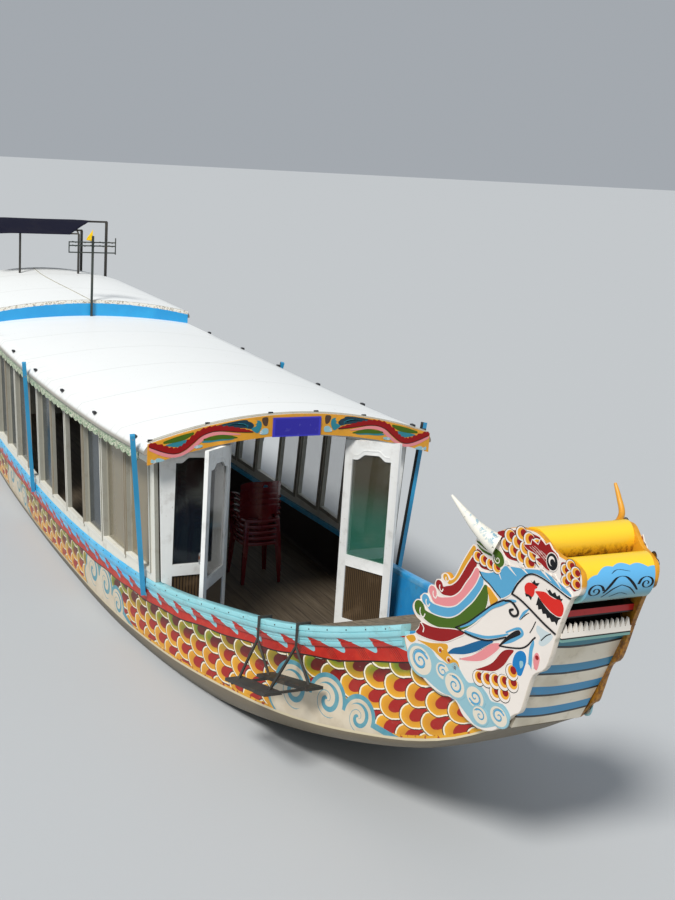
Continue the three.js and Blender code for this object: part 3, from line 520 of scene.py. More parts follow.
class Painting:
    def __init__(self, place, step=0.0008, sunk=0.001):
        self.place = place  # gives the point at (a, b) and a lift off the board
        self.step = step
        self.sunk = -sunk
        self.shape = Shape()
        self.paints = []

    def kind(self, paint):
        if paint not in self.paints:
            self.paints.append(paint)
        return self.paints.index(paint)

    def fill(self, points, paint, layer=1, steps=3):
        outline = [(p.x, p.y) for p in smoothLine(points, steps, closed=True)] if steps > 1 else points
        self.shape.plate(outline, lambda a, b: self.place(a, b, self.sunk),
                         lambda a, b: self.place(a, b, layer * self.step), self.kind(paint))

    def stroke(self, points, paint, layer=2, width=0.008, steps=5, jag=0.0):  # a band along a curve
        line = smoothLine([p if len(p) == 3 else (*p, width) for p in points], steps)
        ends = []
        for end, inner in ((line[0], line[1]), (line[-1], line[-2])):
            out = Vector((end.x - inner.x, end.y - inner.y)).normalized() * end.z / 2
            ends.append([Vector((end.x + out.x * math.sin(t), end.y + out.y * math.sin(t),
                                 end.z * math.cos(t)))
                         for t in (0.6, 1.1, 1.4)])
        line = list(reversed(ends[0])) + line + ends[1]
        rings = []
        for i, p in enumerate(line):
            ahead = line[min(i + 1, len(line) - 1)] - line[max(i - 1, 0)]
            across = Vector((-ahead.y, ahead.x)).normalized() * max(p.z, 0.0006) / 2
            tooth = 1 + jag * (i % 3) / 2
            a0, b0, a1, b1 = p.x + across.x * tooth, p.y + across.y * tooth, p.x - across.x, p.y - across.y
            rings.append([self.place(a0, b0, self.sunk), self.place(a1, b1, self.sunk),
                          self.place(a1, b1, layer * self.step), self.place(a0, b0, layer * self.step)])
        self.shape.loft(rings, self.kind(paint))

    def edged(self, points, paint, layer=2, rim="artWhite", width=0.012):  # a filled figure with a thin rim
        self.stroke([(*p, width) for p in points + points[:1]], rim, layer, steps=3)
        self.fill(points, paint, layer + 0.4)

    def scales(self, region, radius, lean, rings, first=1):  # shingled scales; their free edges point to lean
        ahead = (math.cos(math.radians(lean)), math.sin(math.radians(lean)))
        across = (-ahead[1], ahead[0])
        tilt = 0.0014
        reach = max(math.hypot(a, b) for a, b in region)
        rows, places = int(2 * reach / (radius * 1.05)), int(2 * reach / (radius * 1.8))
        middle = [sum(p[k] for p in region) / len(region) for k in (0, 1)]
        for row in range(-rows, rows + 1):
            for column in range(-places, places + 1):
                along, aside = row * radius * 1.05, (column + 0.5 * (row % 2)) * radius * 1.8
                centre = [middle[k] + ahead[k] * along + across[k] * aside for k in (0, 1)]
                if not within(*centre, region):
                    continue
                for level, (paint, size, shift) in enumerate(rings):
                    at = [centre[k] - ahead[k] * radius * shift for k in (0, 1)]
                    top = (first + 1.6 + level * 0.5) * self.step

                    def rooftop(a, b):
                        free = ((a - centre[0]) * ahead[0] + (b - centre[1]) * ahead[1]) / radius
                        return self.place(a, b, top + tilt * free)

                    self.shape.plate(disc(at, radius * size), lambda a, b: self.place(a, b, self.sunk),
                                     rooftop, self.kind(paint))

    def make(self, name, body, slot):
        return self.shape.make(name, body, self.paints, slot, smooth=20)


# Geometry Nodes: a tree that repeats one thing over points
def repeatTree(name, inputs, spread):
    tree = bpy.data.node_groups.new(name, "GeometryNodeTree")
    face = tree.interface
    face.new_socket("Geometry", in_out="INPUT", socket_type="NodeSocketGeometry")
    for title, kind, default in inputs:
        face.new_socket(title, in_out="INPUT", socket_type="NodeSocket" + kind).default_value = default
    face.new_socket("Finish", in_out="INPUT", socket_type="NodeSocketMaterial")
    face.new_socket("Geometry", in_out="OUTPUT", socket_type="NodeSocketGeometry")

    def make(kind, settings=(), **values):  # values are sockets to link from, or plain numbers
        node = tree.nodes.new(kind)
        for key, value in dict(settings).items():
            setattr(node, key, value)
        for key, value in values.items():
            if isinstance(value, (int, float)):
                node.inputs[key].default_value = value
            else:
                tree.links.new(value, node.inputs[key])
        return node.outputs

    given = make("NodeGroupInput")
    points, copied = spread(make, given)
    copies = make("GeometryNodeInstanceOnPoints", Points=points, Instance=copied)
    real = make("GeometryNodeRealizeInstances", Geometry=copies[0])
    dressed = make("GeometryNodeSetMaterial", Geometry=real[0], Material=given["Finish"])
    make("NodeGroupOutput", Geometry=dressed[0])
    return tree


def alongPath(make, given):  # small heads along a path
    curve = make("GeometryNodeMeshToCurve", Mesh=given["Geometry"])
    points = make("GeometryNodeResampleCurve", {"mode": "LENGTH"}, Curve=curve[0], Length=given["Pitch"])
    return points[0], make("GeometryNodeMeshIcoSphere", Radius=given["Radius"], Subdivisions=2)["Mesh"]


def upStack(make, given):  # the piece itself, repeated upwards
    step = make("ShaderNodeCombineXYZ", Z=given["Rise"])
    return make("GeometryNodeMeshLine", Count=given["Count"], Offset=step[0])[0], given["Geometry"]


headsAlongPath = repeatTree("headsAlongPath", (("Pitch", "Float", 0.2), ("Radius", "Float", 0.008)),
                            alongPath)
stackUp = repeatTree("stackUp", (("Count", "Int", 5), ("Rise", "Float", 0.058)), upStack)


def runTree(piece, tree, values):  # sets named inputs by identifier, then makes plain mesh
    modifier = piece.modifiers.new("nodes", "NODES")
    modifier.node_group = tree
    for item in tree.interface.items_tree:
        if item.in_out == "INPUT" and item.name in values:
            modifier[item.identifier] = values[item.name]
    settle(piece)


# Hull lines: x, gunwale half-breadth, gunwale height, chine half-breadth, chine height, keel height
hullLines = [
    (-7.9, 0.7, 1.15, 0.62, 0.52, 0.47), (-6.9, 0.9, 0.93, 0.82, 0.3, 0.06),
    (-5.7, 1.07, 0.76, 0.99, 0.19, -0.22), (-3.3, 1.218, 0.625, 1.138, 0.09, -0.35),
    (-1.3, 1.265, 0.605, 1.185, 0.06, -0.38), (0.5, 1.275, 0.633, 1.195, 0.085, -0.38),
    (2.0, 1.236, 0.7, 1.156, 0.105, -0.33), (3.3, 1.133, 0.79, 1.053, 0.165, -0.22),
    (4.3, 0.982, 0.943, 0.902, 0.255, -0.06), (5.3, 0.783, 1.142, 0.703, 0.4, 0.21),
    (6.3, 0.545, 1.483, 0.468, 0.67, 0.56), (6.85, 0.447, 1.74, 0.345, 0.895, 0.85),
    (7.37, 0.362, 2.01, 0.254, 1.215, 1.195),
]
hull = {"stern": -7.9, "stem": 7.37, "rake": 0.26, "railThick": 0.045, "railSkirt": 0.15, "railWidth": 0.073,
        "railFront": 6.44, "skin": 0.006, "pitch": 0.15, "boards": 6.42, "boardFoot": 1.1}
# Below the chine: shares of its breadth and of its height over the keel
underwater = ((0.965, 0.76), (0.86, 0.42), (0.5, 0.1), (0.25, 0.03), (0.0, 0.0))


class Section:  # the hull's lines at one x
    def __init__(self, x):
        self.x = x
        lines = [smoothAt(hullLines, k, x) for k in range(1, 6)]
        self.gunwale, self.top, self.chine, self.chineZ, self.keel = lines
        t = min(1.0, max(0.0, (x - 6.3) / (hull["stem"] - 6.3)))
        self.rake = hull["rake"] * t * t * (3 - 2 * t)
        self.faceY = self.gunwale - 0.035 - self.chine
        self.faceZ = self.top - hull["railThick"] - self.chineZ
        self.face = math.hypot(self.faceY, self.faceZ)

    def shift(self, z):
        return self.x + self.rake * (z - self.chineZ) / (self.top - self.chineZ)

    def side(self, rise, lift=0.0):  # a point on the side, rise metres up from the chine
        share = rise / self.face
        y = self.chine + self.faceY * share + lift * self.faceZ / self.face
        z = self.chineZ + self.faceZ * share - lift * self.faceY / self.face
        return Vector((self.shift(z), y, z))

    def outAt(self, z, proud):  # breadth of the side at a height
        return self.chine + self.faceY * (z - self.chineZ) / self.faceZ + proud


def acrossHull(point, side):
    return Vector((point[0], point[1] * side, point[2]))


# Head boards: they splay outwards going aft and lean out going up
head = {"gap": 0.262, "thick": 0.03, "splay": 0.2, "tip": 0.06}


def onBoard(x, z, lift, side):  # lift 0 is the board's inner face
    return Vector((x, (head["gap"] + head["splay"] * (7.7 - x) + head["tip"] * (z - 2.05) + lift) * side, z))


def insideBoards(p):  # keeps a point of the skin behind the head boards
    if p.x > hull["boards"] and p.z > hull["boardFoot"]:
        p.y = min(p.y, onBoard(p.x, p.z, -0.001, 1).y)
    return p


def makeHullSkin():
    shape = Shape()
    sheer, chine, rings = [], [], []
    lift = hull["skin"]
    for x in spaced(hull["stern"] - 0.002, hull["stem"] + 0.004, hull["pitch"]):
        s = Section(x)
        drop = s.face - (hull["railSkirt"] - hull["railThick"])
        half = []
        for k in range(9):
            rise = s.face * (1 - k / 8)
            half.append((insideBoards(s.side(rise, lift)), drop - rise, rise))
        low = -0.001
        for out, share in underwater:
            z = s.keel + (s.chineZ - s.keel) * share - lift
            y = s.chine * out + (lift if out > 0.6 else 0)
            low -= 0.12
            half.append((insideBoards(Vector((s.shift(z), y, z))), drop - low, low))
        ring = half + [(acrossHull(p, -1), a, b) for p, a, b in reversed(half[:-1])]
        rings.append([p for p, _, _ in ring])
        sheer += [(p.x, a) for p, a, _ in ring]
        chine += [(p.x, b) for p, _, b in ring]
    shape.loft(rings, capped=False, around=False)
    count = len(rings[0])
    last = (len(rings) - 1) * count
    shape.faces += [tuple(reversed(range(count))), tuple(last + i for i in range(count))]
    shape.kinds += [1, 0]
    shape.charts = {"sheer": sheer, "chine": chine}
    shape.make("hull_painting", "boat", ["hullPainting", "skyBlue"], "hull_paint", wall=(0.004,), smooth=28,
               merge=False)


# Scales: columns "long" apart, rows "high" apart, every second column half a row lower
scale = {"long": 0.2225, "high": 0.15, "slant": 0.28, "climb": 0.022, "reach": 0.55, "sweep": 0.28,
         "middle": 0.3, "half": 0.7, "core": 0.25, "coreLong": 0.4, "coreHigh": 0.36}
paintwork = {"bandDepth": 0.08, "flamePitch": 0.32, "flameLean": 0.9, "flameTop": -0.07, "flameDepth": 0.15,
             "flameTip": 5.533, "patchPitch": 3.78, "patchStart": 5.0, "patchRim": 0.036}


def scaleRings(finish, along, drop):  # free edges point aft; each scale lies on those aft of it and below it
    s = (along + drop * scale["slant"]) / scale["long"]
    column = s.floor()
    ring = None
    for ahead in (0, 1):
        far = column + ahead - s
        row = (drop + along * scale["climb"]) / scale["high"] + ((column + ahead) * 0.5).fraction()
        for below in (1, 0):
            fall = row.fraction() - below
            across = (fall - scale["middle"]) / scale["half"]
            reach = (far + across * scale["sweep"]).most(0.0) / scale["reach"]
            radial = (reach ** 2 + across ** 2) ** 0.5
            red = (((far + scale["core"]) / scale["coreLong"]) ** 2
                   + ((fall - scale["core"]) / scale["coreHigh"]) ** 2) ** 0.5
            cell = finish.join(column + ahead, row.floor() + below)
            if ring is None:
                ring, core, number = radial, red, cell
                continue
            inside = radial < 1
            ring, core = inside.pick(ring, radial), inside.pick(core, red)
            number = finish.node("ShaderNodeMix", {"data_type": "VECTOR"}, {0: inside, 4: number, 5: cell},
                                 output=1)
    return ring, core, finish.chance(number)


# Swirls of a cloud patch: place along it, height, radius
patchSwirls = [(0.28, 0.235, 0.19), (0.67, 0.215, 0.17), (1.0, 0.12, 0.14)]


def flameBand(finish, along, v, depth):  # red flames between tongues of the rail's colour
    wobble = (finish.noise(5.0, 2.0) - 0.5) * 0.03
    phase = along + wobble - v * paintwork["flameLean"] - paintwork["flameTip"]
    phase = (phase / paintwork["flamePitch"]).fraction()
    tip = (1 - ((phase - 0.78).most(0.0) / 0.22) ** 2).most(0.0) ** 0.5
    tongue = phase ** 1.4 * tip * paintwork["flameDepth"] + paintwork["flameTop"]
    red = finish.mix(finish.noise(9.0, 4.0).rise(0.4, 0.7) * 0.6, "#b31c0d", "#d0351a")
    lines = ((phase * 17).fraction() < 0.2) * (phase > 0.3) * (phase < 0.56) * (v > 0.0) * (v < depth - 0.015)
    red = finish.mix(lines * along.rise(4.9, 5.2), red, "#2a0d0a")
    finish.over((v > tongue) * (v < depth) * (v > paintwork["flameTop"] - 0.015), red)
    return (v - depth).size()


def cloudPatches(finish, along, rise):  # cream and teal swirls on the lower half
    pitch, rim = paintwork["patchPitch"], paintwork["patchRim"]
    t = ((along - paintwork["patchStart"] + 0.2) / pitch).fraction() * pitch - 0.2
    cream = finish.mix(finish.noise(7.0, 4.0).rise(0.4, 0.7) * 0.5, "#d6cab4", "#bdad92")
    teal = finish.mix(finish.noise(11.0, 3.0).rise(0.4, 0.7) * 0.5, "#4f93a6", "#76aab0")
    start = (rise - 0.12) ** 2 * 7
    outer = (rise < (1.36 - t) * 0.33 + rim) * (rise < 0.26) * (t > start - 0.03)
    inner = (rise < (1.32 - t) * 0.33) * (rise < 0.24) * (t > start)
    lobes = []
    for x, z, radius in patchSwirls:
        dx, dz = t - x, rise - z
        reach = (dx * dx + dz * dz) ** 0.5
        lobes.append((reach, finish.angle(dz, dx), radius))
        outer = outer.most(reach < radius + rim)
        inner = inner.most(reach < radius)
    finish.over(outer, teal)
    finish.over(inner, cream)
    for reach, angle, radius in lobes:
        turn = (reach * (1.2 / radius) - angle / (2 * math.pi) + 0.4).fraction()
        arm = (turn < 0.3) * (reach < radius * 0.8)
        thread = ((turn - 0.62).size() < 0.022) * (reach < radius * 0.86)
        finish.over(arm.most(thread), teal)
    return outer


def hullPainting():
    finish = Finish("hullPainting", Coat_Weight=0.1, Coat_Roughness=0.2, Specular_IOR_Level=0.35)
    height = finish.axes[2]
    along, drop, _ = finish.chart("sheer")
    rise = finish.chart("chine")[1]
    wobble = (finish.noise(5.0, 2.0) - 0.5) * 0.022
    shake = (finish.noise(7.0, 2.0, stretch=(1.0, 1.0, 1.7)) - 0.5) * 0.02
    v = drop + shake
    ring, core, luck = scaleRings(finish, along + wobble, v)
    ring = ring + finish.noise(60.0, 2.0) * 0.06 - 0.03
    low = (v - paintwork["bandDepth"]).rise(0.06, 0.2)
    body = finish.ramp(ring, [(0.0, "#c98318"), (0.5, "#dd9a1e"), (0.8, "#e9ab24")])
    green = finish.ramp(ring, [(0.0, "#4f6414"), (0.5, "#6f801c"), (0.8, "#a09624")])
    finish.tone = finish.mix(low, green, body)
    finish.over((luck * 7).fraction().rise(0.3, 1.0) * 0.35, "#c07a16")
    finish.over(1 - core.rise(0.95, 1.0), finish.mix(low, "#5a0f0c", "#a3130c"))
    finish.over(ring.rise(0.82, 0.84), "#f0e8d2")
    finish.over(ring.rise(0.93, 0.95), "#17120d")
    clouded = cloudPatches(finish, along, rise)
    # band under the rail
    depth = along.rise(5.3, 6.2) * 0.03 + (along * 9).sine() * 0.006 + paintwork["bandDepth"]
    finish.over(drop < depth, finish.mix(along.rise(2.2, 3.4), "#3fb2e4", "#8dc3cc"))
    edge = flameBand(finish, along, drop, depth)
    finish.over(edge.rise(0.007, 0.004), "#1d1210")
    # lower edge
    yellow = finish.mix(finish.noise(26.0, 3.0).rise(0.56, 0.62), "#e2a51f", "#a3351a")
    finish.over((1 - (rise + shake).rise(0.036, 0.042)) * (1 - clouded), yellow)
    finish.over(1 - (rise + shake * 0.4).rise(0.016, 0.02), "#dccfae")
    # below the chine: weathered grey-brown, darkened further as painted shade of the bottom
    finish.over(1 - rise.rise(-0.006, 0.0), "#776c58")
    # wear, more of it towards the stern
    aft = 1 - along.rise(-3.5, 4.2)
    dusty = finish.noise(6.0, 6.0, 0.7)
    finish.over(dusty.rise(0.42, 0.72) * (aft * 0.62 + 0.04), "#b9a47c")
    chips = finish.noise(17.0, 5.0, 0.72, stretch=(1.0, 1.0, 2.0))
    bare = chips.rise(0.63, 0.66) * (aft * 0.7 + 0.15)
    finish.over(bare, "#cbbfa4")
    # darker towards the waterline
    towardsWater = 1 - (height + dusty * 0.1).rise(0.06, 0.17)
    finish.over(towardsWater * 0.8, "#4b4433")
    finish.paint(dusty * 0.25 + 0.35, dusty * 0.5 - bare * 0.5 - ring * 0.1, 0.3, 0.004)


hullPainting()
makeHullSkin()
print("hull painted")


# Gunwale rails
nails = {"pitch": 0.21, "radius": 0.0055, "drop": 0.022, "proud": 0.0005}


def railPaint():
    finish = Finish("railPaint", Coat_Weight=0.25, Coat_Roughness=0.25)
    along, across, _ = finish.axes
    cloudy = finish.noise(3.0, 4.0)
    finish.tone = finish.mix(along.rise(2.4, 3.5), "#37b6ea", "#8fd0d8")
    finish.over(across.rise(0.0, 0.1) * along.rise(2.4, 3.5), "#2ba0e0")
    finish.over(cloudy.rise(0.45, 0.7) * 0.3, "#b4e2ea")
    flameBand(finish, along, finish.chart("sheer")[1], 1.0)
    grime = finish.noise(6.0, 6.0, 0.7, stretch=(1.0, 3.0, 3.0)).rise(0.52, 0.75)
    finish.over(grime * 0.35, "#6d6a5c")
    chips = finish.noise(30.0, 4.0, 0.7).rise(0.66, 0.68)
    finish.over(chips * 0.8, "#8b7f69")
    finish.paint(cloudy * 0.2 + 0.28, cloudy - chips * 0.6, 0.25, 0.003)


def railRing(x, side):
    s = Section(x)
    g, t = s.gunwale, s.top
    low, mid = t - hull["railSkirt"], t - 0.088
    near, far = s.outAt(mid, 0.022), s.outAt(low, 0.02)
    outline = [
        (g - 0.01, t), (g - 0.003, t - 0.002), (g, t - 0.008), (g, t - 0.036), (g - 0.006, t - 0.039),
        (g - 0.006, t - 0.044), (g - 0.001, t - 0.047), (g - 0.001, mid + 0.012), (g - 0.006, mid + 0.006),
        (near, mid), (near - 0.002, mid - 0.02), (near - 0.008, mid - 0.023), (near - 0.008, mid - 0.028),
        (near - 0.003, mid - 0.031), (far, low + 0.004), (far - 0.003, low), (s.outAt(low, -0.012), low),
        (g - 0.05, t - 0.055), (g - hull["railWidth"], t - hull["railThick"]),
        (g - hull["railWidth"], t - 0.006), (g - hull["railWidth"] + 0.005, t),
    ]
    return [(x, y * side, z) for y, z in outline]


def makeRail(name, side):
    stops = spaced(hull["stern"] + 0.005, hull["railFront"], hull["pitch"])
    rings = [railRing(x, side) for x in stops]
    rail = Shape()
    rail.loft(rings)
    corners = [p for ring in rings for p in ring]
    rail.charts = {"sheer": [(x, Section(x).top - z - hull["railSkirt"]) for x, y, z in corners]}
    rail.make("gunwale_" + name, "boat", ["railPaint"], "rail_paint", "rub_rail_" + name, smooth=50)
    sections = [Section(x) for x in stops[1:-1]]
    row = [(s.x, (s.gunwale + nails["proud"]) * side, s.top - nails["drop"]) for s in sections]
    mesh = bpy.data.meshes.new("rail_nails_" + name)
    mesh.from_pydata(row, [(i, i + 1) for i in range(len(row) - 1)], [])
    heads = addObject("rail_nails_" + name, mesh)
    runTree(heads, headsAlongPath, {"Pitch": nails["pitch"], "Radius": nails["radius"],
                                    "Finish": finishes["darkMetal"]})
    heads.data.shade_smooth()
    dress(heads, "boat")


railPaint()
for name, side in hands.items():
    makeRail(name, side)
print("rails made")


# Roofs: x, half-width, eave height, crown height
mainRoof = [(-3.33, 1.365, 1.835, 2.085), (-1.5, 1.412, 1.815, 2.125), (0.3, 1.415, 1.812, 2.165),
            (2.1, 1.385, 1.842, 2.22), (3.42, 1.335, 1.895, 2.261)]
aftRoof = [(-5.96, 1.185, 2.06, 2.39), (-4.6, 1.29, 2.02, 2.34), (-3.29, 1.355, 1.995, 2.29)]
roofThick = 0.042


def roofTop(lines, x, y):  # height of the roof's top
    half, eave, crown = [smoothAt(lines, k, x) for k in (1, 2, 3)]
    return crown - (crown - eave - 0.15) * (y / (half - 0.03)) ** 2


def roofRing(lines, x):
    half, eave, crown = [smoothAt(lines, k, x) for k in (1, 2, 3)]
    drop = crown - eave - 0.15
    arch = [(k / 14 * 0.985 * (half - 0.03), crown - drop * (k / 14 * 0.985) ** 2) for k in range(15)]
    edge = [(half - 0.019, eave + 0.118), (half - 0.01, eave + 0.104), (half - 0.003, eave + 0.09),
            (half, eave + 0.078), (half - 0.001, eave + 0.066), (half - 0.006, eave + 0.06),
            (half - 0.034, eave + 0.06), (half - 0.042, eave + 0.07), (half - 0.055, eave + 0.09)]
    inner = [(y * 0.985, z - roofThick) for y, z in reversed(arch)]
    port = arch + edge + inner[:-1]
    ring = [(x, y, z) for y, z in port] + [(x, 0.0, inner[-1][1])]
    return ring + [(x, -y, z) for y, z in reversed(port[1:])]


def roofPaint():
    finish = Finish("roofPaint", Coat_Weight=0.1, Coat_Roughness=0.4)
    along, across, _ = finish.axes
    wander = finish.noise(1.1, 2.0) * 0.12
    bend = across * across * 0.1
    sheet = ((along + bend + wander) / 1.18).fraction()
    seam = 1 - (sheet - 0.5).size().rise(0.0, 0.012)
    patchy = finish.noise(1.6, 5.0, 0.6)
    finish.tone = finish.mix(patchy.rise(0.4, 0.75) * 0.15, "#f4f7f7", "#dfe4e2")
    finish.over(seam * 0.35, "#9da09a")
    finish.over(finish.noise(45.0, 2.0).rise(0.74, 0.76) * 0.7, "#6f6b60")
    streak = finish.noise(1.0, 4.0, stretch=(14.0, 1.5, 1.5)).rise(0.45, 0.7)
    # grey along the side edges: dirt streaks, and painted shade that widens the grey of the turned-down edge
    finish.over(across.size().rise(1.22, 1.36) * (streak * 0.2 + 0.05), "#8e8b80")
    upwards = finish.facing(2)
    # the turned-down edge grey: grey flashing, deepened with painted shade
    finish.over(1 - upwards.rise(0.25, 0.6), "#a09c92")
    # faces turned down dark brown
    finish.over(1 - upwards.rise(-0.6, -0.3), "#5d4c3a")
    ripples = finish.noise(1.5, 3.0, stretch=(2.2, 0.5, 1.0))
    finish.paint(patchy * 0.25 + 0.35, ripples * 0.7 + seam * 0.9 + patchy * 0.3, 0.4, 0.012)


roofPaint()
for name, lines in (("main_roof", mainRoof), ("aft_roof", aftRoof)):
    sheet = Shape()
    sheet.loft([roofRing(lines, x) for x in spaced(lines[0][0], lines[-1][0], 0.16)])
    sheet.make(name + "_sheet", "boat", ["roofPaint"], "roof_sheet", name, smooth=38)
roofEdge = {"x": 3.405, "half": 1.29, "bead": 0.007, "bands": (0.03, 0.055), "band": 0.0035,
            "lugs": (-1.27, -0.78, -0.22, 0.2, 0.66, 1.27), "lug": 0.022, "aft": -2.5, "fore": 3.1,
            "pitch": 1.12}


def makeRoofEdge():  # a thin bead over the front board and small dark lugs that hold the sheet down
    x, half, lug = roofEdge["x"], roofEdge["half"], roofEdge["lug"]
    across = spaced(-half, half, 0.06)
    bead = Shape()
    bead.tube([(x, y, roofTop(mainRoof, x, y) + 0.004) for y in across], roofEdge["bead"], 8)
    for back in roofEdge["bands"]:
        band = [(x - back, y, roofTop(mainRoof, x - back, y) + 0.001) for y in across]
        bead.tube(band, roofEdge["band"], 6)
    bead.make("roof_bead", "boat", ["leadGrey"], "roof_sheet")
    lugs = Shape()
    for y in roofEdge["lugs"]:
        z = roofTop(mainRoof, x, y) + 0.008
        lugs.beam((x - 0.02, y - 0.02, z), (x - 0.02, y + 0.02, z), lug, lug)
    for side in (-1, 1):
        for along in spaced(roofEdge["aft"], roofEdge["fore"], roofEdge["pitch"]):
            y = smoothAt(mainRoof, 1, along) - 0.035
            z = roofTop(mainRoof, along, y) + 0.006
            lugs.beam((along - 0.03, y * side, z), (along + 0.03, y * side, z), 0.03, lug)
    lugs.make("roof_lugs", "boat", ["black"], "dark_metal", bevel=0.003)


makeRoofEdge()
print("roofs made")


# Side windows
windows = {"sillHeight": 0.095, "headDrop": 0.068, "wallThick": 0.035, "flare": 0.05, "post": 0.038,
           "middle": 0.012, "frame": 0.03, "glass": 0.005, "bar": 0.012}
bays = {"main": [3.17, 1.97, 0.77, -0.43, -1.63, -2.83, -3.3], "aft": [-3.42, -4.56, -5.7]}
openHalves = {"sashes_port": [(0, "aft"), (2, "aft")],
              "sashes_starboard": [(1, "aft"), (2, "fore"), (3, "fore")]}


def halfBays(edges, lines):  # bay number, which half, aft and fore edge, sill and head heights
    found = []
    for i, (fore, aft) in enumerate(zip(edges, edges[1:])):
        middle = (fore + aft) / 2
        if fore - aft < 0.7:
            pairs = [("whole", aft, fore)]
        else:
            pairs = [("aft", aft, middle - windows["middle"]), ("fore", middle + windows["middle"], fore)]
        for half, a, b in pairs:
            x0 = a + windows["post"]
            x1 = b - (windows["post"] if b == fore else 0)
            low = max(Section(x0).top, Section(x1).top) + windows["sillHeight"]
            high = smoothAt(lines, 2, (x0 + x1) / 2) - windows["headDrop"]
            found.append((i, half, x0, x1, low, high))
    return found


def onWall(x, z, depth, side):  # a point on the wall, depth metres in from its outer face
    s = Section(x)
    return Vector((x, (s.gunwale - 0.005 + windows["flare"] * (z - s.top) - depth) * side, z))


def grown(x0, x1, low, high, wide, tall):  # corners of an opening, a little larger
    x0, x1, low, high = x0 - wide, x1 + wide, low - tall, high + tall
    return ((x0, low), (x1, low), (x1, high), (x0, high))


def makeSashes(node, edges, lines, side):
    shape = Shape()
    inset, width, bar = windows["wallThick"] + 0.0065, windows["frame"], windows["bar"]
    out = (0, side, 0)
    stile = Vector((width / 2, 0, 0))
    thin = Vector((0, windows["glass"] / 2 * side, 0))
    for bay, half, x0, x1, low, high in halfBays(edges, lines):
        if (bay, half) in openHalves.get(node, ()):
            continue
        a, b, c, d = [onWall(x, z, inset, side) for x, z in grown(x0, x1, low, high, 0.004, 0.012)]
        shape.beam(a, b, width * 1.3, bar, out)
        shape.beam(d, c, width, bar, out)
        shape.beam(a + stile, d + stile, width, bar, out)
        shape.beam(b - stile, c - stile, width, bar, out)
        shape.loft([[p - thin for p in (a, b, c, d)], [p + thin for p in (a, b, c, d)]], kind=1)
    glass = "sideGlass" if side < 0 else "clearGlass"
    shape.make(node + "_glazed", "boat", ["frameBeige", glass], "window_glass", node)


def eaveTrim():
    finish = Finish("eaveTrim")
    swirl = finish.noise(13.0, 1.0, stretch=(1.0, 1.0, 2.0))
    finish.tone = finish.mix(((swirl * 9).fraction() - 0.5).size().rise(0.18, 0.3), "#dcdcc6", "#5f8a62")
    finish.over(finish.noise(8.0, 5.0).rise(0.5, 0.75) * 0.5, "#6b5f4a")
    finish.paint(0.5, swirl, 0.2)


# Scallops of the board under the eave: share of the pitch, drop
scallop = {"pitch": 0.16, "lift": 0.062, "low": 0.028, "high": 0.02,
           "lobe": ((0, 0), (1, 0), (1, 0.06), (0.875, 0.082), (0.5, 0.094), (0.125, 0.082), (0, 0.06))}


def makeTrims(name, edges, lines, side, fore, aft):
    shape = Shape()
    proud, out, bar = -0.004, (0, side, 0), windows["bar"]
    for bay, half, x0, x1, low, high in halfBays(edges, lines):
        sill = [onWall(x, low - 0.012, proud, side) for x in (x0 - 0.02, x1 + 0.02)]
        shape.beam(*sill, 0.028, bar, out)
        for x in (x0 - 0.011, x1 + 0.011):
            dark = 2 if (half == "aft" and x > x1) or (half == "fore" and x < x0) else 0
            shape.beam(onWall(x, low, proud, side), onWall(x, high, proud, side), 0.02, bar, out, dark)

    def atEave(depth):
        return lambda x, z: Vector((x, (smoothAt(lines, 1, x) - depth) * side, z))

    pitch = scallop["pitch"]
    for x0 in spaced(aft, fore - pitch, pitch):
        high = smoothAt(lines, 2, x0 + pitch / 2) + scallop["lift"]
        lobe = [(x0 + pitch * share, high - fall) for share, fall in scallop["lobe"]]
        shape.plate(lobe, atEave(scallop["low"]), atEave(scallop["high"]), kind=1)
    shape.make(name, "boat", ["wallPaint", "eaveTrim", "mullionBrown"], "frame_paint")


eaveTrim()
for hand, side in hands.items():
    makeSashes("sashes_" + hand, bays["main"], mainRoof, side)
    makeSashes("aft_sashes_" + hand, bays["aft"], aftRoof, side)
for hand, side in hands.items():
    makeTrims("window_trims_" + hand, bays["main"], mainRoof, side, 3.24, -3.3)
    makeTrims("aft_window_trims_" + hand, bays["aft"], aftRoof, side, -3.34, -5.8)
print("windows made")


# Front wall and door leaves
front = {"face": 3.3, "back": 3.262, "hingeX": 3.304, "hingeY": 0.566, "foot": 0.282, "topHinge": 1.994,
         "topFree": 2.052, "glassFoot": 0.95, "midRail": 0.1, "kick": 0.07, "stile": 0.078, "arch": 0.048,
         "free": 0.005, "open": {"starboard": -130, "port": 120},
         "glass": {"starboard": "dimGlass", "port": "frontGlass"}, "knuckles": (0.42, 1.15, 1.76),
         "knuckle": 0.11, "pin": 0.0074}
# Handle of a leaf: x, y, z along its grip
grip = [(3.298, 0.045, 1.08), (3.318, 0.045, 1.085), (3.322, 0.045, 1.1), (3.322, 0.045, 1.16),
        (3.318, 0.045, 1.175), (3.298, 0.045, 1.18)]


def ribbedPanel():
    finish = Finish("ribbedPanel")
    x, y, _ = finish.axes
    bump = (((x + y.size()) * 36).fraction() - 0.5).size() * 2
    # dark in the grooves between the ribs: painted shade
    finish.tone = finish.mix(bump.rise(0.45, 0.9), "#54422b", "#1c130d")
    finish.over(finish.noise(7.0, 4.0).rise(0.5, 0.75) * 0.4, "#75614a")
    finish.paint(0.5, 1 - bump, 0.6, 0.004)


def archAt(share):  # an arch with flat ears and a broad crown, 0 to 1
    climb = min(max((min(share, 1 - share) - 0.12) / 0.22, 0.0), 1.0)
    return climb * climb * (3 - 2 * climb)


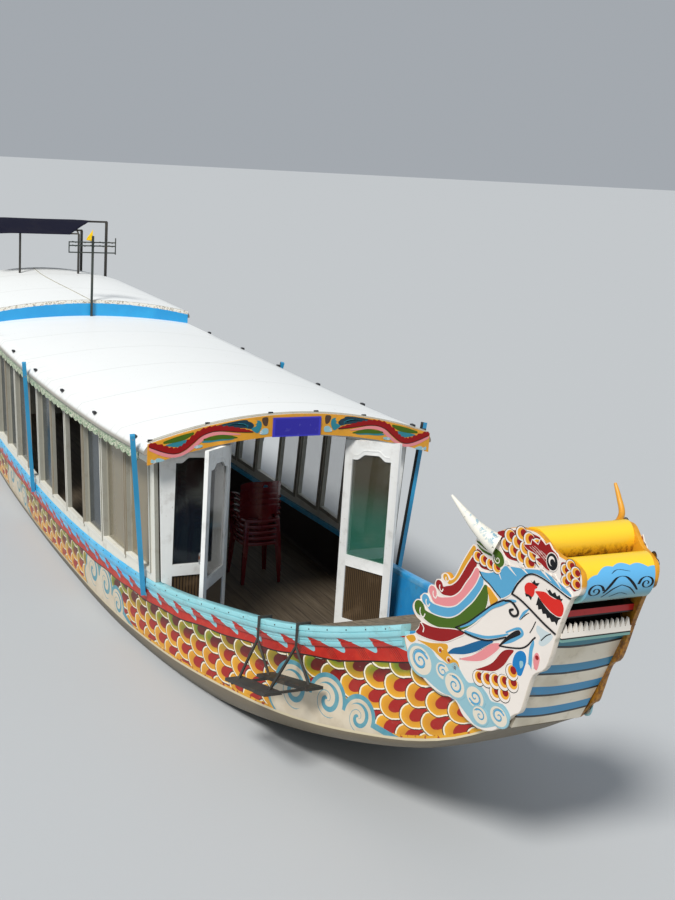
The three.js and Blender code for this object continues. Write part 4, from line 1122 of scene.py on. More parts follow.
# A glazed frame from y0 to its outer edge; stiles are its inner edges, heads the heights of the glass there
def glazedFrame(shape, y0, outer, foot, top0, place, stiles, faces, heads):
    (y1, top1), (inner0, inner1), (back, face) = outer[-1], stiles, faces
    sill = front["glassFoot"]
    middle = sill - front["midRail"]
    wide = inner1 - inner0

    def topAt(y):
        return top0 + (top1 - top0) * (y - y0) / (y1 - y0)

    def slab(outline, x0=back, x1=face, kind=0):
        def onFace(x):
            return lambda y, z: place(Vector((x, y, z)))

        shape.plate(outline, onFace(x0), onFace(x1), kind)

    slab([(y0, foot), (inner0, foot), (inner0, topAt(inner0)), (y0, top0)])
    slab([(inner1, foot)] + outer + [(inner1, topAt(inner1))])
    for low, high in ((middle, sill), (foot, foot + front["kick"])):
        slab([(inner0, low), (inner1, low), (inner1, high), (inner0, high)])
    climb = heads[1] - heads[0]
    arch = [(inner0 + wide * share, heads[0] + climb * share - front["arch"] * (1 - archAt(share)))
            for share in [k / 28 for k in range(29)]]
    slab(arch + [(inner1, topAt(inner1)), (inner0, topAt(inner0))])
    proud, lift, thick = 0.003, 0.04, 0.005
    shape.loft([[place(Vector((x, y, z + lift + rise))) for x, rise in (
        (back - proud, -thick), (face + proud, -thick), (face + proud, thick), (back - proud, thick))]
        for y, z in arch[1:-1]])
    depth, lap = (back + face) / 2, 0.008 if wide > 0 else -0.008
    slab([(inner0 - lap, sill - 0.01), (inner1 + lap, sill - 0.01), (inner1 + lap, heads[1] + 0.008),
          (inner0 - lap, heads[0] + 0.008)], depth - 0.0025, depth + 0.0025, 1)
    slab([(inner0 - lap, foot + 0.06), (inner1 + lap, foot + 0.06), (inner1 + lap, middle + 0.01),
          (inner0 - lap, middle + 0.01)], depth - 0.006, depth + 0.006, 2)


def makeLeaf(name, side):
    turn = Matrix.Rotation(math.radians(front["open"][name]), 4, "Z")
    hinge = Vector((front["hingeX"], front["hingeY"] * side, 0))

    def place(p):
        return hinge + turn @ (Vector((p[0], p[1] * side, p[2])) - hinge)

    free, foot, y0 = front["free"], front["foot"], front["hingeY"] - 0.005
    shape = Shape()
    glazedFrame(shape, y0, [(free, foot), (free, front["topFree"])], foot, front["topHinge"], place,
                (y0 - front["stile"], free + front["stile"]), (front["back"] + 0.001, front["face"] - 0.002),
                (1.875, 1.922))
    paints = ["frameWhite", front["glass"][name], "ribbedPanel"]
    shape.make("leaf_" + name, "door_" + name, paints, "frame_paint", "door_leaf_" + name, bevel=0.0025)
    handle = Shape()
    handle.tube([place(p) for p in smoothLine(grip, 3)], 0.006, 10)
    handle.make("leaf_handle_" + name, "door_" + name, ["greyMetal"], "grey_metal")


def makeFrontPanel(name, side):
    shape = Shape()
    # the far edge runs inside the hull, then stands on the rail and leans out with the wall
    outer = [(1.016, 0.3), (1.05, 0.785), (1.095, 0.8), (1.155, 2.02)]
    y0 = front["hingeY"] + 0.006
    glazedFrame(shape, y0, outer, 0.3, 2.1, lambda p: acrossHull(p, side), (y0 + 0.085, 1.012),
                (front["back"], front["face"]), (1.875, 1.89))
    for z in front["knuckles"]:
        pin = [(front["hingeX"], front["hingeY"] * side, z + t) for t in (0.0, front["knuckle"])]
        shape.tube(pin, front["pin"], 14, kind=3)
    paints = ["frameWhite", front["glass"][name], "ribbedPanel", "greyMetal"]
    shape.make("front_frame_" + name, "boat", paints, "frame_paint", "front_panel_" + name, bevel=0.0025)


ribbedPanel()
for make in (makeLeaf, makeFrontPanel):
    for name in ("starboard", "port"):
        make(name, hands[name])
print("front made")


# Head boards: outline in x and z, drawn smooth
headOutline = [
    (7.29, 2.42), (7.42, 2.485), (7.515, 2.5), (7.61, 2.498), (7.737, 2.426), (7.86, 2.404), (7.936, 2.362),
    (7.936, 2.255), (7.866, 2.193), (7.79, 1.995), (7.77, 1.92), (7.709, 1.728), (7.612, 1.641),
    (7.555, 1.468), (7.524, 1.377), (7.46, 1.325), (7.33, 1.18), (7.197, 1.127), (7.05, 1.15), (6.965, 1.225),
    (6.8, 1.215), (6.679, 1.246), (6.54, 1.33), (6.473, 1.45), (6.5, 1.49), (6.573, 1.53), (6.609, 1.584),
    (6.63, 1.625), (6.582, 1.645), (6.549, 1.68), (6.545, 1.718), (6.573, 1.757), (6.612, 1.772),
    (6.613, 1.795), (6.64, 1.82), (6.68, 1.838), (6.686, 1.865), (6.71, 1.893), (6.742, 1.908), (6.75, 1.935),
    (6.774, 1.96), (6.802, 1.974), (6.806, 2.003), (6.838, 2.025), (6.867, 2.022), (6.887, 2.003),
    (6.905, 1.997), (6.933, 2.028), (6.969, 2.081), (7.004, 2.142), (7.053, 2.222), (7.102, 2.289),
]

# Strands of the mane: colour, (x, z, width) along the middle, then the curl's place and radius
strands = [
    ("artGold", [(7.09, 2.26, 0.03), (7.06, 2.2, 0.046), (7.015, 2.12, 0.052), (6.975, 2.045, 0.05),
                 (6.935, 1.995, 0.042), (6.885, 1.975, 0.03)], (6.848, 1.996), 0.023),
    ("artDarkRed", [(7.105, 2.2, 0.045), (7.07, 2.125, 0.07), (7.03, 2.05, 0.078), (6.985, 1.985, 0.076),
                    (6.93, 1.94, 0.068), (6.87, 1.915, 0.06), (6.82, 1.902, 0.045)], (6.793, 1.928), 0.033),
    ("artPink", [(7.125, 2.125, 0.04), (7.1, 2.06, 0.06), (7.06, 2.0, 0.066), (7.01, 1.925, 0.068),
                 (6.945, 1.87, 0.066), (6.87, 1.84, 0.062), (6.8, 1.82, 0.06), (6.75, 1.832, 0.055)],
     (6.735, 1.868), 0.036),
    ("artSky", [(7.165, 2.09, 0.035), (7.145, 2.02, 0.062), (7.1, 1.945, 0.077), (7.045, 1.875, 0.084),
                (6.98, 1.815, 0.08), (6.905, 1.78, 0.072), (6.82, 1.762, 0.066), (6.735, 1.758, 0.064)],
     (6.672, 1.792), 0.036),
    ("artGreen", [(7.205, 2.045, 0.04), (7.185, 1.97, 0.08), (7.14, 1.89, 0.098), (7.075, 1.82, 0.1),
                  (7.0, 1.755, 0.09), (6.915, 1.712, 0.076), (6.82, 1.69, 0.07), (6.735, 1.683, 0.07),
                  (6.665, 1.692, 0.06)], (6.617, 1.718), 0.05),
]
# Filled figures of the head: (x, z) round each
figures = {
    "mustardPatch": [(7.215, 2.06), (7.25, 2.045), (7.285, 2.02), (7.305, 2.0), (7.255, 1.955),
                     (7.235, 1.995)],
    "lowRed": [(6.635, 1.625), (6.72, 1.63), (6.815, 1.65), (6.95, 1.69), (7.04, 1.7), (6.96, 1.64),
               (6.885, 1.59), (6.805, 1.56), (6.69, 1.54), (6.59, 1.54), (6.615, 1.58)],
    "muzzle": [(7.15, 2.13), (7.18, 2.1), (7.235, 2.08), (7.285, 2.05), (7.33, 2.025), (7.37, 2.045),
               (7.415, 2.085), (7.45, 2.15), (7.49, 2.2), (7.53, 2.235), (7.57, 2.255), (7.61, 2.262),
               (7.665, 2.257), (7.735, 2.242), (7.805, 2.225), (7.87, 2.212), (7.87, 2.23), (7.845, 2.245),
               (7.8, 2.262), (7.735, 2.282), (7.675, 2.295), (7.61, 2.29), (7.515, 2.265), (7.435, 2.25),
               (7.365, 2.235), (7.3, 2.185), (7.225, 2.145)],
    "redGum": [(7.515, 2.155), (7.535, 2.185), (7.57, 2.195), (7.615, 2.185), (7.595, 2.165), (7.595, 2.145),
               (7.58, 2.115), (7.55, 2.12), (7.525, 2.12)],
    "blackGum": [(7.52, 2.12), (7.58, 2.125), (7.57, 2.09), (7.55, 2.107), (7.53, 2.1)],
    "blackTop": [(7.56, 2.21), (7.575, 2.2), (7.59, 2.22), (7.6, 2.205), (7.63, 2.215), (7.615, 2.19),
                 (7.58, 2.19)],
    "tongueSide": [(7.6, 2.155), (7.645, 2.17), (7.68, 2.175), (7.71, 2.165), (7.75, 2.16), (7.795, 2.165),
                   (7.82, 2.13), (7.81, 2.08), (7.775, 2.066), (7.73, 2.075), (7.695, 2.09), (7.65, 2.115),
                   (7.62, 2.14)],
    "blackUpper": [(7.68, 2.198), (7.695, 2.19), (7.71, 2.203), (7.73, 2.185), (7.75, 2.2), (7.765, 2.18),
                   (7.785, 2.195), (7.795, 2.175), (7.81, 2.18), (7.8, 2.16), (7.75, 2.165), (7.71, 2.17)],
    "blackLower": [(7.625, 2.13), (7.69, 2.085), (7.72, 2.07), (7.77, 2.06), (7.806, 2.065), (7.785, 2.045),
                   (7.775, 2.01), (7.76, 2.027), (7.735, 2.017), (7.72, 2.037), (7.7, 2.028), (7.69, 2.05),
                   (7.665, 2.042), (7.655, 2.067), (7.63, 2.055), (7.625, 2.08), (7.61, 2.075)],
    "eyeFlame": [(7.5, 2.405), (7.555, 2.42), (7.56, 2.45), (7.61, 2.435), (7.625, 2.475), (7.665, 2.45),
                 (7.69, 2.468), (7.715, 2.44), (7.755, 2.42), (7.765, 2.39), (7.74, 2.34), (7.695, 2.31),
                 (7.645, 2.33), (7.595, 2.35), (7.63, 2.365), (7.575, 2.38), (7.53, 2.385)],
    "brow": [(7.295, 2.42), (7.42, 2.465), (7.485, 2.48), (7.555, 2.485), (7.62, 2.478), (7.685, 2.45),
             (7.74, 2.41), (7.75, 2.38), (7.665, 2.33), (7.61, 2.32), (7.515, 2.3), (7.435, 2.285),
             (7.375, 2.285), (7.335, 2.32), (7.335, 2.36), (7.31, 2.39)],
    "nose": [(7.785, 2.385), (7.825, 2.395), (7.875, 2.39), (7.91, 2.375), (7.925, 2.35), (7.925, 2.295),
             (7.915, 2.27), (7.89, 2.25), (7.865, 2.262), (7.82, 2.285), (7.79, 2.31), (7.78, 2.345)],
    "temple": [(7.09, 2.25), (7.12, 2.262), (7.19, 2.245), (7.25, 2.215), (7.34, 2.225), (7.27, 2.175),
               (7.18, 2.155), (7.14, 2.165), (7.13, 2.195), (7.095, 2.215)],
    "tab": [(6.49, 1.478), (6.56, 1.513), (6.585, 1.49), (6.555, 1.46), (6.525, 1.455)],
    "goldStrip": [(6.61, 1.495), (6.73, 1.52), (6.865, 1.565), (6.89, 1.55), (6.885, 1.52), (6.94, 1.495),
                  (6.985, 1.485), (7.0, 1.43), (6.945, 1.43), (6.815, 1.46), (6.75, 1.48), (6.67, 1.49)],
    "beardBlue": [(6.89, 1.51), (6.935, 1.56), (7.01, 1.6), (7.105, 1.66), (7.185, 1.705), (7.285, 1.735),
                  (7.22, 1.68), (7.14, 1.615), (7.04, 1.56), (6.955, 1.53)],
    "beardPink": [(7.0, 1.515), (7.1, 1.572), (7.18, 1.635), (7.265, 1.71), (7.335, 1.74), (7.335, 1.71),
                  (7.27, 1.64), (7.19, 1.575), (7.075, 1.53)],
    "beardRed": [(7.145, 1.5), (7.225, 1.552), (7.29, 1.605), (7.345, 1.68), (7.39, 1.72), (7.455, 1.74),
                 (7.42, 1.685), (7.38, 1.62), (7.31, 1.555), (7.23, 1.525)],
    "petalBlue": [(7.45, 1.645), (7.455, 1.695), (7.48, 1.74), (7.52, 1.762), (7.55, 1.75), (7.557, 1.71),
                  (7.54, 1.65), (7.52, 1.605), (7.485, 1.605)],
    "petalGlint": [(7.515, 1.65), (7.535, 1.675), (7.53, 1.7), (7.505, 1.69)],
    "leaf": [(7.575, 1.705), (7.575, 1.765), (7.582, 1.815), (7.607, 1.86), (7.613, 1.835), (7.603, 1.785),
             (7.603, 1.73), (7.6, 1.68), (7.587, 1.695)],
    "petalPink": [(7.622, 1.695), (7.612, 1.74), (7.622, 1.78), (7.642, 1.795), (7.66, 1.775), (7.66, 1.745),
                  (7.645, 1.69)],
    "smallScales": [(7.09, 1.475), (7.145, 1.47), (7.245, 1.49), (7.32, 1.52), (7.38, 1.58), (7.425, 1.615),
                    (7.46, 1.59), (7.475, 1.53), (7.455, 1.475), (7.415, 1.42), (7.35, 1.42), (7.28, 1.4),
                    (7.21, 1.43), (7.12, 1.44)],
    "cloudBase": [(6.505, 1.38), (6.55, 1.44), (6.64, 1.48), (6.735, 1.48), (6.8, 1.44), (6.89, 1.44),
                  (6.965, 1.475), (7.02, 1.43), (7.085, 1.39), (7.165, 1.42), (7.245, 1.385), (7.29, 1.35),
                  (7.385, 1.37), (7.445, 1.33), (7.44, 1.285), (7.36, 1.225), (7.28, 1.175), (7.215, 1.145),
                  (7.15, 1.14), (7.1, 1.165), (7.035, 1.2), (6.96, 1.24), (6.88, 1.23), (6.8, 1.235),
                  (6.695, 1.262), (6.595, 1.3), (6.53, 1.34)],
    "edgeWash": [(7.63, 1.96), (7.685, 1.95), (7.75, 1.94), (7.73, 1.895), (7.68, 1.85), (7.645, 1.855),
                 (7.655, 1.895), (7.625, 1.92)],
}
redScale = [("artBlack", 1.0, 0.0), ("artWhite", 0.92, 0.03), ("artOrange", 0.76, 0.14),
            ("artDarkRed", 0.5, 0.42)]
cloudCurls = [((6.635, 1.365), 0.128, 0.1, 1.5), ((6.85, 1.375), 0.075, 0.2, 1.3),
              ((6.965, 1.325), 0.105, 0.3, -1.4), ((7.15, 1.32), 0.09, 0.6, 1.3),
              ((7.2, 1.22), 0.075, 0.4, -1.2), ((7.36, 1.28), 0.085, 0.1, 1.3)]


def paintHead(side, name):
    art = Painting(lambda x, z, lift: onBoard(x, z, head["thick"] + lift, side))
    middle = (7.2, 1.85)
    inset = [(x + (middle[0] - x) * 0.006, z + (middle[1] - z) * 0.006) for x, z in headOutline]
    art.fill(inset, "artWhite", 1, 4)
    hook = [(1.05, -0.5), (0.75, -1.0), (0.3, -0.85), (0.08, -0.4), (0.15, 0.05)]
    for k, (paint, line, end, size) in enumerate(strands):
        low = 2 + 0.9 * k
        art.stroke([(x, z, w + 0.015) for x, z, w in line] + [(*end, size + 0.015)], "artWhite", low)
        art.fill(disc(end, size + 0.007), "artWhite", low, 1)
        art.stroke(line + [(*end, size)], paint, low + 0.4)
        art.fill(disc(end, size), paint, low + 0.5, 1)
        art.stroke([(end[0] + a * size, end[1] + b * size, 0.009) for a, b in hook], "artWhite", low + 0.8)
    art.fill(figures["mustardPatch"], "artGold", 6.2)
    art.edged(figures["lowRed"], "artDarkRed", 6.1)
    art.stroke([(6.635, 1.625), (6.662, 1.6), (6.657, 1.57)], "artWhite", 7.2, 0.009)
    # brow, nose and temple
    for region in ("brow", "nose", "temple"):
        wider = [(x + (x - 7.55 if region == "brow" else 0) * 0.04, z) for x, z in figures[region]]
        art.fill(wider, "artDarkRed", 1.6)
    art.scales(figures["brow"], 0.047, 205, redScale, 2)
    art.scales(figures["nose"], 0.036, 185, redScale, 2)
    art.scales(figures["temple"], 0.04, 215, redScale, 6)
    art.edged(figures["muzzle"], "artSky", 6.6)
    art.stroke(figures["muzzle"][:5], "artBlack", 7.8, 0.008)
    for tip in ((7.39, 2.235, 7.45, 2.2), (7.5, 2.26, 7.55, 2.235), (7.3, 2.185, 7.33, 2.14),
                (7.66, 2.29, 7.72, 2.255), (7.76, 2.27, 7.8, 2.235)):
        x0, z0, x1, z1 = tip
        art.stroke([(x0 - 0.02, z0 + 0.02, 0.03), (x0, z0, 0.016), (x1, z1, 0.002)], "artWhite", 7.6)
    art.stroke([(x, z + 0.002, 0.008) for x, z in figures["muzzle"][16:] if x > 7.3], "artWhite", 7.6)
    # eye
    art.stroke([(*p, 0.012) for p in figures["eyeFlame"]] + [(*figures["eyeFlame"][0], 0.012)], "artWhite",
               6.4, steps=2)
    art.fill(figures["eyeFlame"], "artDarkRed", 7, 2)
    for k in range(9):
        x0, z0 = 7.545 + 0.017 * k, 2.405 - 0.004 * k + 0.012 * (k % 3)
        art.stroke([(x0, z0, 0.0014), (x0 + 0.045, z0 - 0.018, 0.002), (x0 + 0.08, z0 - 0.04, 0.001)],
                   "artWhite", 7.8)
    eye = (7.722, 2.37)
    for size, paint, layer, shift in ((0.046, "artWhite", 8.4, 0), (0.041, "artBlack", 9, 0),
                                      (0.024, "artWhite", 9.6, -0.003), (0.018, "artBlack", 10.2, 0.004)):
        art.fill(disc((eye[0] + shift, eye[1] - shift), size, 24, 1.2), paint, layer, 1)
    # horn's root
    art.fill([(7.105, 2.3), (7.13, 2.34), (7.2, 2.36), (7.28, 2.35), (7.33, 2.31), (7.36, 2.26), (7.33, 2.2),
              (7.28, 2.18), (7.24, 2.22), (7.17, 2.25)], "artWhite", 8)
    art.stroke([(7.12, 2.31, 0.01), (7.185, 2.3, 0.03), (7.25, 2.296, 0.042), (7.305, 2.28, 0.052),
                (7.328, 2.25, 0.044), (7.31, 2.222, 0.034)], "artGreen", 8.6)
    art.stroke([(7.125, 2.29, 0.008), (7.17, 2.268, 0.016), (7.24, 2.262, 0.014)], "artGreen", 8.6)
    art.fill(disc((7.298, 2.248), 0.038), "artGreen", 9, 1)
    art.stroke(curl((7.295, 2.25), 0.026, 0.45, 1.1, 0.007), "artWhite", 9.6)
    # mouth
    for shape, paint in (("redGum", "artRed"), ("blackGum", "artBlack"), ("blackTop", "artBlack"),
                         ("tongueSide", "artRed"), ("blackUpper", "artBlack"), ("blackLower", "artBlack")):
        art.fill(figures[shape], paint, 2.5 if paint == "artRed" else 2, 1 if "black" in shape else 3)
    art.stroke([(7.42, 2.08), (7.455, 2.145), (7.495, 2.195), (7.53, 2.23), (7.57, 2.25), (7.61, 2.255),
                (7.665, 2.25), (7.735, 2.235), (7.805, 2.215), (7.865, 2.2)], "artBlack", 8, 0.009)
    art.stroke([(7.42, 2.08), (7.48, 2.07), (7.55, 2.045), (7.63, 2.01), (7.69, 1.985), (7.77, 1.957)],
               "artBlack", 8, 0.009)
    # cheek
    art.stroke([(7.0, 1.725, 0.009), (7.075, 1.775, 0.022), (7.165, 1.85, 0.018), (7.255, 1.935, 0.015),
                (7.34, 1.99, 0.018), (7.4, 2.03, 0.016), (7.45, 2.045, 0.012)], "artSky", 6.6)
    art.stroke([(7.035, 1.71, 0.011), (7.125, 1.718, 0.019), (7.22, 1.737, 0.018), (7.315, 1.777, 0.016),
                (7.4, 1.822, 0.01)], "artSky", 2)
    art.stroke([(7.355, 1.745, 0.008), (7.42, 1.785, 0.02), (7.475, 1.827, 0.022), (7.515, 1.865, 0.022),
                (7.5, 1.888, 0.018), (7.46, 1.877, 0.014), (7.385, 1.828, 0.01)], "artSky", 2)
    art.fill(figures["edgeWash"], "artMist", 1.6)
    art.stroke([(7.485, 1.945, 0.005), (7.52, 1.995, 0.018), (7.56, 2.035, 0.005)], "artSky", 2)
    art.stroke([(7.495, 1.945, 0.003), (7.53, 1.985, 0.006), (7.56, 2.01, 0.003)], "artBlack", 3)
    black = 0.0095
    art.stroke([(6.955, 1.705), (7.06, 1.775), (7.14, 1.845), (7.205, 1.905), (7.255, 1.95), (7.3, 1.985),
                (7.35, 2.015), (7.375, 2.022)], "artBlack", 7.4, black)
    art.stroke([(7.37, 2.02), (7.415, 2.032), (7.45, 2.015), (7.475, 1.99), (7.47, 1.965), (7.44, 1.95),
                (7.415, 1.958), (7.41, 1.975), (7.432, 1.988)], "artBlack", 7.4, 0.013)
    art.stroke([(6.955, 1.705), (7.065, 1.7), (7.15, 1.705), (7.225, 1.72), (7.3, 1.752), (7.385, 1.797)],
               "artBlack", 7.4, black)
    art.stroke([(7.335, 1.725, 0.008), (7.4, 1.795, 0.022), (7.46, 1.845, 0.032), (7.487, 1.863, 0.03)],
               "artBlack", 4)
    art.stroke([(7.335, 1.725), (7.42, 1.745), (7.51, 1.775), (7.56, 1.81), (7.6, 1.86), (7.618, 1.88)],
               "artBlack", 4, black)
    for line in ([(7.615, 1.975), (7.595, 1.93), (7.575, 1.895)],
                 [(7.665, 1.88), (7.7, 1.92), (7.735, 1.945)]):
        art.stroke(line, "artBlack", 3, 0.006)
    # beard and petals
    for shape, paint in (("beardBlue", "artBlue"), ("beardPink", "artPink"), ("beardRed", "artDarkRed"),
                         ("petalBlue", "artBright"), ("leaf", "artSky"), ("petalPink", "artPink"),
                         ("goldStrip", "artGold"), ("tab", "artGold")):
        art.edged(figures[shape], paint, 2)
    art.fill(figures["petalGlint"], "artPale", 3)
    art.fill(disc((7.64, 1.765), 0.014), "artDarkRed", 3, 1)
    for a, b in ((6.82, 1.5), (6.9, 1.465), (6.96, 1.44)):
        art.stroke(curl((a, b), 0.028, 0.1, 0.9, 0.006), "artWhite", 3)
        art.fill(disc((a, b), 0.012, 12), "artDarkRed", 3, 1)
    art.scales(figures["smallScales"], 0.053, 235, [("artBlack", 1.0, 0.0), ("artWhite", 0.93, 0.03),
                                                    ("artOrange", 0.7, 0.2), ("artDarkRed", 0.46, 0.4)], 1)
    # clouds along the lower edge
    art.fill(figures["cloudBase"], "artPale", 3)
    for k, (centre, size, start, turns) in enumerate(cloudCurls):
        low = 3.5 + k * 0.9
        art.fill(disc(centre, size, 28, 0.86), "artPale", low, 1)
        art.fill(disc(centre, size * 0.84, 28, 0.86), "artCream", low + 0.3, 1)
        for reach, shift, thick, paint, rise in ((0.62, 0.0, 0.15, "artSky", 0.5),
                                                 (0.72, 0.06, 0.035, "artTeal", 0.7)):
            line = curl(centre, size * reach, start + shift, turns, size * thick, 0.12)
            art.stroke([(a, centre[1] + (b - centre[1]) * 0.86, w) for a, b, w in line], paint, low + rise)
    art.make("head_painting_" + name, "boat", "head_paint")


def headEdgePaint():  # cream along the starboard mouth, worn ochre on the port board, yellow above
    finish = Finish("headEdge", Coat_Weight=0.1)
    x, y, z = finish.axes
    rough = finish.noise(18.0, 5.0, 0.7)
    ochre = finish.mix(rough.rise(0.45, 0.65), "#a8721a", "#6e4310")
    cream = finish.mix(rough.rise(0.5, 0.7) * 0.5, "#ddd3c4", "#8f8a7c")
    front = x.rise(7.4, 7.5) * (1 - z.rise(2.27, 2.3))
    finish.tone = finish.mix(rough.rise(0.5, 0.7) * 0.4, "#d9971a", "#8a5a14")
    finish.over(front.most(1 - z.rise(1.34, 1.36)), finish.mix(y > 0, cream, ochre))
    finish.paint(rough * 0.2 + 0.4, rough, 0.3, 0.003)


def makeBoard(name, side):
    board = Shape()
    outline = [(p.x, p.y) for p in smoothLine(headOutline, 4, closed=True)]
    board.plate(outline, lambda x, z: onBoard(x, z, 0.0, side),
                lambda x, z: onBoard(x, z, head["thick"], side))
    board.make("head_" + name, "boat", ["headEdge"], "yellow_paint", "head_board_" + name, bevel=0.003,
               smooth=30)


headEdgePaint()
for name, side in hands.items():
    makeBoard(name, side)
    paintHead(side, name)


# Rolls between the boards: x, z, radius
rolls = {"brow": (7.545, 2.405, 0.112), "snout": (7.825, 2.29, 0.128)}


def rollPaint(name, x, z, cloudy):
    finish = Finish(name, Coat_Weight=0.3, Coat_Roughness=0.2)
    px, py, pz = finish.axes
    angle = finish.angle(pz - z, px - x)
    grit = finish.noise(26.0, 5.0, 0.7)
    # yellow bright on top and darker orange underneath: painted light and shade
    finish.tone = finish.mix(angle.rise(0.9, -0.7), "#f6cf2a", "#d89416")
    stain = grit.rise(0.44, 0.6) * (1 - (angle + 0.4).size().rise(0.1, 0.7))
    finish.over(stain * (0.25 if cloudy else 0.85), "#6a3d12")
    if cloudy:
        fall = py.most(0.0) ** 2 * 5.0 + (0 - py).most(0.0) ** 2 * 12.5
        edge = (py * 27 + 1.2).sine().size() * 0.13 + 0.84 - fall
        # the cloud's blue turns duller lower down the roll
        sky = finish.mix(angle.rise(0.3, -1.1), "#5fb0e2", "#6e9a94")
        finish.over(1 - (angle - edge).rise(-0.02, 0.02), sky)
    finish.paint(grit * 0.2 + 0.25, grit, 0.25, 0.004)


def makeRoll(name, x, z, radius, sides=56):
    rollPaint(name + "Paint", x, z, name == "snout")
    turns = [2 * math.pi * k / sides for k in range(sides)]
    circle = [(x + radius * math.cos(t), z + radius * math.sin(t)) for t in turns]
    roll = Shape()
    roll.loft([[Vector((a, onBoard(a, b, -0.0005, 1).y * share, b)) for a, b in circle]
               for share in spaced(-1.0, 1.0, 0.25)])
    roll.make(name + "_barrel", "boat", [name + "Paint"], "yellow_paint", name + "_roll", smooth=40)


for name, roll in rolls.items():
    makeRoll(name, *roll)


def paintSnout():  # black waves and spirals on the cloud; a runs across the boat, b round the roll in radians
    x, z, radius = rolls["snout"]

    def onSnout(a, b, lift):
        reach = radius + lift
        return Vector((x + reach * math.cos(b), a, z + reach * math.sin(b)))

    art = Painting(onSnout)
    for hand in (-1, 1):
        centre = (0.172 * hand, -0.14 + 0.08 * hand)
        spiral = curl(centre, 0.056, 0.25 + 0.25 * hand, -1.6 * hand, 0.018, 0.15)
        art.stroke([(a, centre[1] + (b - centre[1]) * 6.2, w) for a, b, w in spiral], "artBlack", 1.5,
                   steps=3)
        for line in ([(0.114, -0.34, 0.012), (0.075, 0.02, 0.021), (0.035, 0.3, 0.018), (0.0, 0.36, 0.013)],
                     [(0.115, -0.6, 0.005), (0.06, -0.2, 0.013), (0.0, -0.02, 0.009)]):
            art.stroke([(a * hand, b, w) for a, b, w in line], "artBlack", 1.5)
    for line in ([(-0.065, 0.5, 0.003), (-0.02, 0.66, 0.012), (0.06, 0.54, 0.004)],
                 [(-0.06, -0.62, 0.003), (0.0, -0.42, 0.01), (0.06, -0.58, 0.003)]):
        art.stroke(line, "artBlack", 1.5)
    art.make("snout_waves", "boat", "yellow_paint")


paintSnout()
mouth = {"aft": 7.6, "fore": 7.637, "low": 1.93, "high": 2.2, "x": 7.62, "z": 2.05}


# The panel is black: a dark sheet giving the painted shade of the gap between the head boards.
def makeMouth():  # dark panel behind the tongue and the teeth
    half = onBoard(mouth["x"], mouth["z"], -0.004, 1).y
    corners = ((mouth["aft"], mouth["low"]), (mouth["fore"], mouth["low"]), (mouth["fore"], mouth["high"]),
               (mouth["aft"], mouth["high"]))
    panel = Shape()
    panel.loft([[(x, y, z) for x, z in corners] for y in (-half, half)])
    panel.make("mouth_panel", "boat", ["artBlack"], "head_paint")


makeMouth()


# Horns: line, thickest and thinnest radius, how fast it thins, paint
hornLines = {
    "starboard": ([(7.275, -0.385, 2.338), (7.235, -0.42, 2.36), (7.13, -0.456, 2.412), (7.01, -0.48, 2.475),
                   (6.901, -0.5, 2.537)], (0.073, 0.007), 1.1, "hornPaint"),
    "port": ([(7.33, 0.398, 2.395), (7.378, 0.4, 2.5), (7.335, 0.4, 2.59), (7.285, 0.398, 2.668)],
             (0.024, 0.008), 0.7, "mustard"),
}


def hornPaint():
    finish = Finish("hornPaint", Coat_Weight=0.2)
    x, _, z = finish.axes
    speckle = finish.noise(30.0, 4.0, 0.7)
    upper = (z + x * 0.5 - 5.98).rise(0.0, 0.05)
    finish.tone = finish.mix(speckle.rise(0.5, 0.6) * upper * 0.8, "#e9e6da", "#4f97b4")
    finish.over(finish.noise(50.0, 3.0).rise(0.68, 0.7) * 0.7, "#5b584c")
    finish.paint(0.45, speckle, 0.3, 0.003)


hornPaint()
for name, (points, (thick, thin), power, paint) in hornLines.items():
    path = smoothLine(points, 8)
    radii = [thin + (thick - thin) * (1 - k / (len(path) - 1)) ** power for k in range(len(path))]
    horn = Shape()
    horn.tube(path, radii, 20)
    horn.make("horn_shape_" + name, "boat", [paint], stands="horn_" + name, smooth=60)
print("head made")


# Painted boards over the front: a runs out from the middle, b down from the board's top edge
fascia = {"face": 3.4423, "half": 1.303, "top": 2.261, "fall": 0.216, "arch": 0.094}


def onFascia(a, b, lift, side):
    y = a * 0.965
    top = fascia["top"] - fascia["fall"] * (y / fascia["half"]) ** 2
    return Vector((fascia["face"] + lift, y * side, top - b))


def drop(points):  # heights above the water as drops below the board's top edge
    return [(a, fascia["top"] - fascia["arch"] * a * a - b) + tuple(rest) for a, b, *rest in points]


